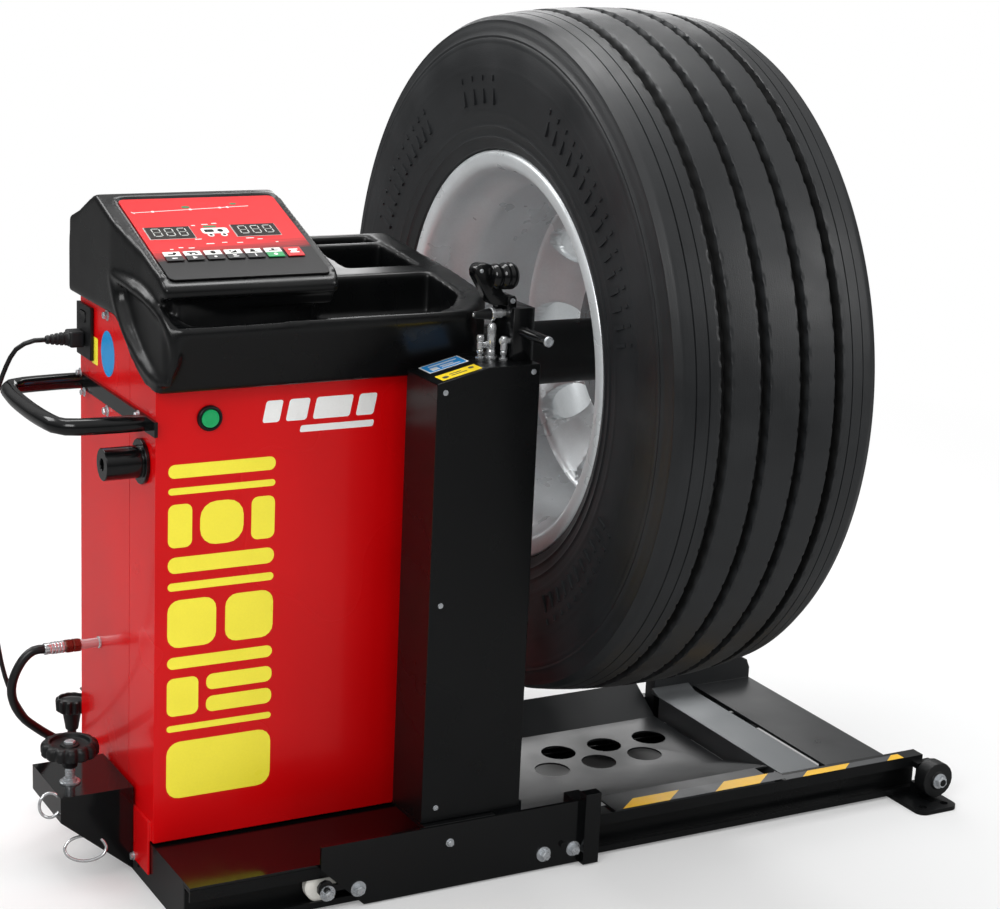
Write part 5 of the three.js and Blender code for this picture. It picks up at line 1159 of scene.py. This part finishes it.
# How far the marks on a cap lie above the slope, and their thickness
mark_heights = (4.72, 0.08)
for i, (finish, slot) in enumerate(key_kinds):
    body = f"key_{i + 1}"
    worked(f"key_cap_{i + 1}", body, finish, body, width=0.8, segments=3)
    u = key_pitch * i - 725
    dark_marks = ([rounded_plate(u - 7, 65, u + 4, 68, 1), disc_shape(u + 4, 69.5, 2.6)],
                  [rounded_plate(u - 8, 69, u + 5, 71.4, 1), disc_shape(u - 3, 67, 2.2),
                   disc_shape(u + 5, 67, 2.2)],
                  [disc_shape(u, 68.5, 4)],
                  [[(u - 6, 65), (u + 5, 65), (u + 5, 72)], disc_shape(u - 4, 70, 1.8)],
                  [disc_shape(u - 1, 69, 3.6), rounded_plate(u - 6, 65, u + 6, 66.4, 0.6)],
                  [rounded_plate(u - 7, 66, u + 7, 68, 1), disc_shape(u, 70, 2.4)], [])[i]
    pale_marks = ([rounded_plate(u - 4, 55, u + 4, 57.5, 1)], [[(u - 3, 53), (u + 4, 56.5), (u - 3, 60)]],
                  [disc_shape(u, 56.5, 2.2)], [rounded_plate(u - 4, 54, u + 4, 56, 1),
                                               rounded_plate(u - 4, 58, u + 2, 60, 1)],
                  [rounded_plate(u - 1, 53, u + 1, 60, 0.8)], [disc_shape(u, 56.5, 3)],
                  [rounded_plate(u - 7, 58, u + 7, 61, 1.2), rounded_plate(u - 7, 66, u + 7, 69, 1.2),
                   disc_shape(u, 63.5, 4.2)])[i]
    if dark_marks:
        film(f"key_mark_dark_{i + 1}", panel_face, dark_marks, smoked_acrylic, body, "display_dark",
             *mark_heights)
    film(f"key_mark_pale_{i + 1}", panel_face, pale_marks, print_white, body, "key_white", *mark_heights)


# Left side: inlet, rocker, handle, peg and start button
# The mains inlet and its rocker sit on a black plastic plate. The carrying handle is bent steel tube on a
# bar, and a turned peg below it holds cones. The start button is a green cap in a black ring.

# Glass-filled nylon mouldings: satin black with a slight grain
nylon_black = surface("glass_filled_nylon_black", "111213", 0.4, grain=1.6, relief=0.04, drift=0.1, patch=40,
                      shine=0.4)
worked("inlet_plate", "inlet_panel", nylon_black, "frame", width=1.6, segments=3)
worked("rocker_cap", "rocker_switch", nylon_black, "rocker", width=1.2, segments=3)
gloss_black = surface("gloss_black_lacquer", "0A0B0C", 0.14, grain=5, relief=0.02, drift=0.1, patch=140,
                      scuff=0.03, shine=0.5)
worked("carrying_handle", "grab_handle", gloss_black, "frame", width=1.0, angle=40)
worked("cone_peg", "storage_peg", gloss_black, "frame", width=1.2, segments=3, angle=40)
start_ring_profile = ((0, 13.9), (0, 18.5), (3.2, 18.5), (5.4, 17.4), (6.2, 16), (6.0, 14.6), (4.6, 13.9))
keep("start_ring", turned_mesh("start_ring", (0, -1, 0), at(-678, -140.2, 712), start_ring_profile, 64, True),
     nylon_black, "frame", ("start_bezel",))
# Translucent green polycarbonate cap: deep green, glossy, slightly dished
green_cap = surface("green_polycarbonate", "12A05C", 0.16, grain=3, relief=0.01, drift=0.08, patch=16,
                    coat=0.4)
start_cap_profile = ((0, 0), (0, 13.4), (5.2, 13.4), (6.4, 12.8), (6.9, 11.4), (6.6, 8), (6.4, 0))
keep("start_cap", turned_mesh("start_cap", (0, -1, 0), at(-678, -139.5, 712), start_cap_profile, 48),
     green_cap, "start", ("start_button",))


# Fasteners
# Zinc-plated hexagon bolts with washers, and pan-head screws, set by Geometry Nodes at their places on
# each body.
def fasteners(name, places, aim, across, head, washer, sides, dome, body="frame"):
    """Washer, head and domed end at each place, turned by a seeded random angle. Sizes are in mm."""
    tree = places_tree(name)
    values = [(tree.interface.new_socket(name=label, in_out="INPUT", socket_type="NodeSocketFloat"), value)
              for label, value in (("Head radius", across / 2 / math.cos(math.pi / sides) / 1000),
                                   ("Head height", head / 1000), ("Washer radius", washer / 1000),
                                   ("Washer thickness", max(washer * 0.12, 0.3) / 1000),
                                   ("Dome share", dome))]
    given = put(tree, "NodeGroupInput")
    thick = given.outputs["Washer thickness"]
    tall = given.outputs["Head height"]
    wide = given.outputs["Head radius"]
    ring = put(tree, "GeometryNodeMeshCylinder", {
        "Vertices": 24, "Radius": given.outputs["Washer radius"], "Depth": thick})
    ring_middle = put(tree, "ShaderNodeMath", {0: thick, 1: 0.5}, operation="MULTIPLY")
    block = put(tree, "GeometryNodeMeshCylinder", {"Vertices": sides, "Radius": wide, "Depth": tall})
    block_middle = put(tree, "ShaderNodeMath", {0: tall, 1: 0.5, 2: thick}, operation="MULTIPLY_ADD")
    top_radius = put(tree, "ShaderNodeMath", {0: wide, 1: given.outputs["Dome share"]}, operation="MULTIPLY")
    top_tall = put(tree, "ShaderNodeMath", {0: tall, 1: 0.22}, operation="MULTIPLY")
    top = put(tree, "GeometryNodeMeshCone", {
        "Vertices": sides, "Radius Top": top_radius.outputs[0], "Radius Bottom": wide,
        "Depth": top_tall.outputs[0]})
    top_base = put(tree, "ShaderNodeMath", {0: tall, 1: thick}, operation="ADD")
    whole = put(tree, "GeometryNodeJoinGeometry")
    for part, height in ((top, top_base), (block, block_middle), (ring, ring_middle)):
        upward = put(tree, "ShaderNodeCombineXYZ", {2: height.outputs[0]})
        raised = put(tree, "GeometryNodeTransform", {0: part.outputs[0], "Translation": upward.outputs[0]})
        tree.links.new(raised.outputs[0], whole.inputs[0])
    aim_given = put(tree, "GeometryNodeInputNamedAttribute", {"Name": "aim"}, data_type="FLOAT_VECTOR")
    facing = put(tree, "FunctionNodeAlignRotationToVector", {"Vector": aim_given.outputs["Attribute"]},
                 axis="Z")
    spots = put(tree, "GeometryNodeInstanceOnPoints", {
        "Points": given.outputs["Geometry"], "Instance": whole.outputs[0], "Rotation": facing.outputs[0]})
    turn = put(tree, "FunctionNodeRandomValue", {2: 0.0, 3: 1.05, "Seed": 11}, data_type="FLOAT")
    turn_about = put(tree, "ShaderNodeCombineXYZ", {2: turn.outputs[1]})
    turned = put(tree, "GeometryNodeRotateInstances",
                 {0: spots.outputs[0], "Rotation": turn_about.outputs[0]})
    solid = put(tree, "GeometryNodeRealizeInstances", {0: turned.outputs[0]})
    dressed = put(tree, "GeometryNodeSetMaterial", {0: solid.outputs[0], "Material": zinc_plate})
    put(tree, "NodeGroupOutput", {0: dressed.outputs[0]})
    made = set_out(name, tree, [at(*p) for p in places], [aim] * len(places), values)
    return keep(name, made, zinc_plate, body, smooth=35)


fasteners("side_bolts", ((-757, 66, 823), (-757, 66, 680)), (-1, 0, 0), 10, 5, 8.5, 6, 0.86)
fasteners("handle_bolts", ((-764.5, 169, 716), (-764.5, -90, 711), (-764.5, 150, 690), (-764.5, -72, 690)),
          (-1, 0, 0), 8, 4.5, 7, 6, 0.86)
fasteners("back_screws", [(x, 190, z) for x in (-743, -299) for z in (104, 310, 520, 722)] +
          [(-521, 190, 104), (-521, 190, 722)], (0, 1, 0), 9, 2.6, 6.5, 20, 0.6)
fasteners("flange_screw", ((-761, -66, 29),), (-1, 0, 0), 11, 4, 7.5, 20, 0.6)
fasteners("column_screws", ((-381, -284, 759), (-376, -284, 443), (-371, -284, 128), (-240, -284, 780)),
          (0, -1, 0), 6.5, 1.8, 4.2, 18, 0.6)
fasteners("carriage_bolts", ((-550, -300, 32), (-501, -300, 30), (-191, -300, 28), (-139, -300, 28)),
          (0, -1, 0), 13, 8, 12, 6, 0.86, body="carriage")
fasteners("carriage_screw", ((-353, -300, 76),), (0, -1, 0), 9, 4, 6.5, 6, 0.86, body="carriage")


# Side bracket, handwheel and knob
# A bent steel bracket hangs outside the cabinet. The fluted plastic handwheel on a steel screw locks it
# in front, and a fluted knob does so behind. Two rings of bent wire go through its sheet and hang from it.
worked("side_bracket_bent", "side_bracket", gloss_black, "frame", width=1.6, segments=3)


def lobed(name, centre, profile, lobes, depth, sides):
    """A fluted grip on an upright axis. The profile gives (height, radius, share of the lobes' depth)."""
    work = bmesh.new()
    rings = []
    for up_way, radius, share in profile:
        ring = []
        for k in range(sides):
            angle = 2 * math.pi * k / sides
            swell = radius - depth * share * (0.5 - 0.5 * math.cos(lobes * angle)) ** 2
            ring.append(work.verts.new(centre + Vector((swell * math.cos(angle), swell * math.sin(angle),
                                                        up_way)) / 1000))
        rings.append(ring)
    skin(work, rings)
    work.faces.new(list(reversed(rings[0])))
    work.faces.new(rings[-1])
    return written(name, work)


knob_foot, knob_top = (corner[2] * 1000 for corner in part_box("rear_clamp"))
wheel_hub = at(-841, -13, 0)
grip_profile = ((181, 20, 0), (182.4, 34, 0.2), (184, 40, 0.8), (187, 42.8, 1), (195, 43, 1), (199, 42.2, 1),
                (202.4, 39.4, 0.8), (204, 35.6, 0.4), (204.6, 32, 0.1), (203.6, 29.6, 0), (199, 28, 0),
                (197.6, 24, 0), (197.4, 16, 0))
hub_profile = ((196, 0), (196, 15), (199.6, 13.5), (200.6, 11), (200.6, 0))
collar_profile = ((163, 0), (163, 9), (165, 11), (176, 12.5), (183, 17), (183, 0))
joined("front_handwheel", (
    lobed("grip", wheel_hub, grip_profile, 14, 3.6, 280),
    turned_mesh("hub", (0, 0, 1), wheel_hub, hub_profile, 48),
    turned_mesh("collar", (0, 0, 1), wheel_hub, collar_profile, 40),
), nylon_black, "front_screw", ("front_clamp",), smooth=38)
screw_profile = ((104, 0), (104, 4), (106, 5.4), (139, 5.4), (146, 5.4), (146, 7.4), (158, 7.4), (159, 6.6),
                 (163.6, 6.6), (163.6, 0))
plate_profile = ((139.2, 0), (139.2, 15.5), (141.2, 15.5), (141.8, 14.6), (141.8, 10.5), (146, 9.6),
                 (146.4, 0))
nut_profile = ((198, 0), (198, 8.6), (203.6, 8.6), (204.6, 7.6), (204.6, 4.6), (205.4, 4.2), (205.4, 0))
joined("front_screw_steel", (
    turned_mesh("screw", (0, 0, 1), wheel_hub, screw_profile, 28),
    turned_mesh("plate", (0, 0, 1), wheel_hub, plate_profile, 36),
    turned_mesh("nut", (0, 0, 1), wheel_hub, nut_profile, 6),
), zinc_plate, "front_screw", smooth=35)
knob_hub = at(-762, 224, 0)
knob_profile = ((knob_top - 24, 17, 0), (knob_top - 22, 22, 0.5), (knob_top - 19, 25.4, 1),
                (knob_top - 6, 26, 1), (knob_top - 2, 25.2, 0.9), (knob_top, 22.6, 0.4),
                (knob_top - 0.6, 20.6, 0), (knob_top - 5, 19.6, 0), (knob_top - 7, 17, 0))
shank_profile = ((knob_foot, 0), (knob_foot, 7), (knob_top - 54, 7), (knob_top - 52, 10),
                 (knob_top - 26, 14.4), (knob_top - 22, 16), (knob_top - 22, 0))
joined("rear_knob", (
    lobed("knob", knob_hub, knob_profile, 12, 3.4, 240),
    turned_mesh("shank", (0, 0, 1), knob_hub, shank_profile, 32),
), nylon_black, "rear_screw", ("rear_clamp",), smooth=38)


def wire_ring(name, places, radius):
    """A ring of bent wire through the places, closed on itself."""
    line = smooth_path([at(*p) for p in places] + [at(*places[0])], 48)
    return keep(name, tube_mesh(name, line, radius / 1000, 14), chrome_plate, "frame",
                smooth=60)


round_angles = [i * math.pi / 6 for i in range(12)]
wire_ring("wire_ring_front", [(-883 + 16 * math.cos(a), -50 + 3 * math.sin(a), 124 + 18 * math.sin(a))
                              for a in round_angles], 2.3)
# The larger ring goes through the bracket's front face: before it on the right, behind it above
wire_ring("wire_ring_rear", [(-834 + 30 * math.cos(a), -64 + 9 * math.sin(a - 0.7), 53 + 17 * math.sin(a))
                             for a in round_angles], 2.3)


# Base, rails and carriage
# The base is folded plate lacquered gloss black, welded to a front rail of open channel section and a
# rear rail. The carriage plate with its cover column rolls along the front rail on two white nylon rollers.
worked("base_plate", "base_frame", gloss_black, "frame", width=1.4)
# The foot plate's two front corners are rounded off
foot_cuts = []
for corner_x, way in ((565, -1), (485, 1)):
    middle = (corner_x + way * 16, -369 + 16)
    arc = [(middle[0] - way * 16 * math.cos(a), middle[1] - 16 * math.sin(a))
           for a in (i * math.pi / 12 for i in range(7))]
    foot_cuts.append(prism("foot_corner", [*arc, (middle[0], -380), (corner_x - way * 10, -380),
                                           (corner_x - way * 10, middle[1])], -5, 20, "z"))
worked("front_rail_channel", "front_rail", satin_black, "frame", width=1.0,
       tools=[("DIFFERENCE", cut) for cut in foot_cuts])
worked("rear_rail_channel", "rear_rail", satin_black, "frame", width=1.0)
worked("chassis_welded", "chassis", satin_black, "frame", width=1.0)
worked("bearing_inboard_ring", "bearing_inboard", turned_steel, "frame", width=0.8)
worked("bearing_outboard_ring", "bearing_outboard", turned_steel, "frame", width=0.8)
worked("carriage_plate_cut", "carriage_plate", gloss_black, "carriage", width=1.2)
worked("cover_column", "column", satin_black, "carriage", width=2.2, segments=3)
# Turned polyamide: ivory white, silky
white_nylon = surface("turned_polyamide_white", "E4E3DC", 0.38, grain=3, relief=0.02, drift=0.05, patch=20)
for side, name in (("left", "roller_left"), ("right", "roller_right")):
    low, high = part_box("guide_roller_" + side)
    middle = (Vector(low) + Vector(high)) / 2
    reach = (high[1] - low[1]) * 500
    wide = (high[2] - low[2]) * 500
    roller_profile = ((-reach, 5.2), (-reach, wide - 3), (-reach + 2.5, wide), (reach - 2.5, wide),
                      (reach, wide - 3), (reach, 5.2))
    roller_mesh = turned_mesh("nylon_roller", (0, 1, 0), middle, roller_profile, 72, True)
    keep("nylon_roller_" + side, roller_mesh, white_nylon, name, ("guide_roller_" + side,),
         smooth=50)
worked("end_roller_turned", "end_roller", nylon_black, "roller", width=2.0, segments=3)
end_low, end_high = (Vector(corner) * 1000 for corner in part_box("end_roller"))
end_middle = (end_low + end_high) / 2
fasteners("end_roller_nut", ((end_middle.x - machine_shift * 1000, end_low.y + 0.4, end_middle.z),),
          (0, -1, 0), 17, 7, 13, 6, 0.86, body="roller")


# Hazard tape on the front rail
# Adhesive tape with slanting yellow and dark grey stripes. Most of it is stuck along the front lip of the
# tray, which lies on the rail, and the rest goes on along the rail's own lip.
tape_yellow = surface("tape_yellow", "FFC61C", 0.4, grain=2, relief=0.01, drift=0.06, patch=40)
tape_grey = surface("tape_dark_grey", "46484A", 0.4, grain=2, relief=0.01, drift=0.06, patch=40)
stripe = 86
slant = 1.25
tape_start = -46
lip_ends = ((-200, 265), (265, 505))


def clipped(shape, limit, side):
    """The outline cut off at u = limit. Side 1 keeps what lies beyond it and -1 what lies before it."""
    kept = []
    for a, b in zip(shape, shape[1:] + shape[:1]):
        if side * (a[0] - limit) >= 0:
            kept.append(a)
        if (a[0] - limit) * (b[0] - limit) < 0:
            share = (limit - a[0]) / (b[0] - a[0])
            kept.append((limit, a[1] + share * (b[1] - a[1])))
    return kept


for body, height, front, back, (start, end) in (("lift", 73.5, -291.0, -263.0, lip_ends[0]),
                                                ("frame", 70.0, -289.4, -272.6, lip_ends[1])):
    stripes = ([], [])
    lean = slant * (back - front)
    for i in range(7):
        x = tape_start + i * stripe
        shape = [(x, front), (x + stripe, front), (x + stripe + lean, back), (x + lean, back)]
        shape = clipped(clipped(shape, start, 1), end, -1)
        if len(shape) > 2:
            stripes[i % 2].append(shape)
    for label, shapes, colour, slot in (("yellow", stripes[0], tape_yellow, "key_white"),
                                        ("dark", stripes[1], tape_grey, "painted_black")):
        film(f"hazard_tape_{label}_{body}", (at(0, 0, height), (1, 0, 0), (0, 1, 0)), shapes, colour, body,
             slot)


# Lift table
# The lift's deck, cross beam and pierced tray are folded plate that carries the wheel in. An air cylinder
# under the tray raises it between its guides.

# Drawn steel strip, oiled: mid grey, satin, lightly brushed along its length
drawn_steel = surface("drawn_steel_oiled", "6E7173", 0.42, metal=0.7, grain=1.0, relief=0.02, drift=0.08,
                      patch=60, stretch=(8, 1, 8))
# Dark grey satin lacquer on the deck and tray
deck_grey = surface("deck_satin_dark_grey", "1B1D1F", 0.36, grain=3, relief=0.05, drift=0.14, patch=160,
                    scuff=0.05, shine=0.5)
worked("carriage_deck_folded", "carriage_deck", deck_grey, "carriage", width=1.2)
worked("cross_beam_strip", "cross_beam", drawn_steel, "carriage", width=1.0)
worked("lift_tray_pierced", "lift_tray", deck_grey, "lift", width=1.0)
worked("lift_cylinder_tube", "lift_cylinder", satin_black, "carriage", width=1.2)
worked("lift_rod_ground", "lift_rod", turned_steel, "lift", width=0.8)


# Lift valve, lever and push handle
# A machined block, lacquered gloss black, stands on the column with plated push-in fittings and a guide
# pin. The moulded lever turns on a steel pin between two ears; the plunger has a bright ring and the stub
# handle a steel cap.
block_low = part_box("valve_block")[0][2] * 1000
block = prism("valve_block_milled", ((-262, -258), (-228, -258), (-228, -192), (-262, -192)), block_low, 868,
              "z")
ear_outline = ((-263, 866), (-249, 866), (-249, 879), (-252, 883), (-260, 883), (-263, 879))
ears = [prism("ear", ear_outline, front, front + 4, "y")
        for front in (-240.3, -213.7)]
valve_mesh = shaped(block, [("UNION", ears[0]), ("UNION", ears[1])], bevel=0.0016, segments=3, angle=30)
keep("valve_block_milled", valve_mesh, gloss_black, "carriage", ("valve_block",), smooth=40)
pin_foot = at(-281, -228, block_low)
side_foot = at(-299, -228, block_low)
near_foot = at(-270, -246, block_low)
elbow = ((6, 0), (6, 3.4), (8, 4.6), (12, 4.9), (13, 4.2), (14, 4.2), (15, 5), (24, 5), (25, 4.2), (26, 4.2),
         (27, 5.2), (33, 5.2), (34.6, 4.2), (34.6, 0))
guide_pin_profile = ((0, 0), (0, 9), (2.6, 9), (3.2, 6.5), (12, 6.5), (13, 5.8), (14, 6.5), (47, 6.5),
                     (50.6, 4.6), (51.6, 2), (51.6, 0))
keep("guide_pin", turned_mesh("pin", (0, 0, 1), pin_foot, guide_pin_profile, 36), chrome_plate, "carriage")
side_stub_profile = ((0, 0), (0, 4), (8, 4), (8, 5.2), (12, 5.2), (13, 4), (14, 4), (14, 0))
near_stub_profile = ((-6, 0), (-6, 4.2), (-4, 5), (4, 5), (5, 4), (9, 4), (9, 0))
joined("push_in_fittings", (
    turned_mesh("side_elbow", (0, 0, 1), side_foot, elbow, 28),
    turned_mesh("side_stub", (1, 0, 0), at(-299, -228, block_low + 20), side_stub_profile, 24),
    turned_mesh("side_foot", (0, 0, 1), side_foot, ((0, 0), (0, 6.4), (3, 6.4), (3.6, 3), (7, 3), (7, 0)), 6),
    turned_mesh("near_elbow", (0, 0, 1), near_foot, elbow, 28),
    turned_mesh("near_stub", (1, 0, 0), at(-270, -246, block_low + 28), near_stub_profile, 24),
    turned_mesh("near_foot", (0, 0, 1), near_foot, ((0, 0), (0, 6.4), (3, 6.4), (3.6, 3), (7, 3), (7, 0)), 6),
), chrome_plate, "carriage", smooth=35)
lever_hinge_pin_profile = ((0, 0), (0, 3.4), (0.8, 4), (2, 4), (2.2, 3.6), (34, 3.6), (34.4, 4), (35.6, 4),
                           (36, 0))
keep("lever_hinge_pin", turned_mesh("pin", (0, 1, 0), at(-256, -243, 876), lever_hinge_pin_profile, 24),
     zinc_plate, "carriage")
lift_lever_arm_outline = ((-249, 879), (-251, 872), (-256, 869.6), (-284, 869.6), (-290, 873), (-296, 881),
                          (-315, 912), (-316.5, 921), (-313, 928), (-306, 931), (-292, 930), (-284, 925),
                          (-280, 917), (-269, 889), (-263, 884), (-252, 883))
arm = prism("lift_lever_arm", lift_lever_arm_outline, -236, -214.5, "y")
arm_mesh = shaped(arm, bevel=0.0024, segments=3, angle=25)
lift_lever_grip_profile = ((-292, 0), (-292, 13), (-290, 16.4), (-286, 18.4), (-281, 18.6), (-278.4, 17.2),
                           (-277, 15.4), (-275.6, 15.4), (-274, 17.6), (-271, 19.2), (-267.6, 19.4),
                           (-265.8, 18), (-264.6, 18), (-262.6, 19.6), (-258, 19.4), (-253.6, 17), (-251, 13),
                           (-250.2, 8), (-250, 0))
joined("lift_lever_grip", (
    arm_mesh,
    turned_mesh("knob", (1, 0, 0), at(0, -236, 912), lift_lever_grip_profile, 56),
), gloss_black, "lever", ("lift_lever",), smooth=42)
lever_arm_pin_profile = ((0, 0), (0, 2.2), (0.7, 2.9), (3, 2.9), (3, 0))
keep("lever_arm_pin", turned_mesh("pin", (0, 1, 0), at(-306, -238, 921), lever_arm_pin_profile, 20),
     zinc_plate, "lever")
valve_plunger_grip_profile = ((-312, 0), (-312, 4.0), (-310.8, 5.2), (-304, 5.6), (-297, 6.8), (-288, 8),
                              (-284, 8), (-284, 0))
keep("valve_plunger_grip", turned_mesh("grip", (1, 0, 0), at(0, -228, 856), valve_plunger_grip_profile, 32),
     nylon_black, "plunger", ("valve_plunger",))
tip_profile = ((-312.8, 0), (-312.8, 2.2), (-311.6, 2.8), (-311, 2.8), (-311, 0))
ring_profile = ((-285, 0), (-285, 9), (-284, 10), (-280, 10), (-279, 9), (-278.4, 6.6), (-267, 6.6),
                (-267, 4.8), (-248, 4.8), (-247, 4), (-247, 0))
joined("valve_plunger_ring", (
    turned_mesh("tip", (1, 0, 0), at(0, -228, 856), tip_profile, 20),
    turned_mesh("ring", (1, 0, 0), at(0, -228, 856), ring_profile, 36),
), chrome_plate, "plunger", smooth=35)
rod_profile = ((257.4, 0), (257.4, 8), (262, 8), (263, 7.2), (326, 7.2), (328.6, 7.9), (331.4, 7.9),
               (331.4, 0))
keep("push_handle_turned", turned_mesh("rod", (0, -1, 0), at(-246, 0, 834), rod_profile, 40), gloss_black,
     "carriage", ("push_handle",))
cap_profile = ((331, 0), (331, 7.6), (333.6, 7.4), (334.8, 6.4), (335, 4.4), (333.6, 3.8), (333.6, 0))
keep("push_handle_cap", turned_mesh("cap", (0, -1, 0), at(-246, 0, 834), cap_profile, 36), zinc_plate,
     "carriage")


# Plates on the column's top
# Two printed film labels lie on the column's sloping top: a blue one with a white edge and a yellow one,
# both blank but for plain shapes.
slope_start = Vector((-394, 772))
slope_end = Vector((-312, 791))
slope_way = (slope_end - slope_start).normalized()
label_blue = surface("label_film_blue", "2A9CEA", 0.36, grain=2, relief=0.01, drift=0.05, patch=30)
label_yellow = surface("label_film_yellow", "FFE02A", 0.36, grain=2, relief=0.01, drift=0.05, patch=30)
label_white = surface("label_film_white", "EDEFEF", 0.3, grain=2, relief=0.01, drift=0.04, patch=30)
slope_face = (at(slope_start.x, 0, slope_start.y), (slope_way.x, 0, slope_way.y), (0, 1, 0))
for name, shapes, finish, slot, lift in (
    ("blue_edge", plates((14, -232, 78, -194, 1.5)), label_white, "key_white", 0.12),
    ("blue", plates((16.6, -229.4, 75.4, -196.6, 1.0)), label_blue, "key_white", 0.36),
    ("blue_marks", plates((22, -226, 34, -214, 1.0), (38, -225, 68, -221.5, 1.0), (38, -218, 60, -214.5, 1.0),
                          (24, -208, 70, -204.5, 1.0)), label_white, "key_white", 0.6),
    ("yellow", plates((12, -277, 76, -250, 1.5)), label_yellow, "key_white", 0.12),
    ("yellow_marks", plates((17, -271, 26, -262, 4.0), (62, -264, 70, -256, 3.5), (31, -268, 56, -265.5, 1.0),
                            (31, -261, 50, -258.5, 1.0)), tape_grey, "painted_black", 0.36),
):
    film("column_label_" + name, slope_face, shapes, finish, "carriage", slot, lift)
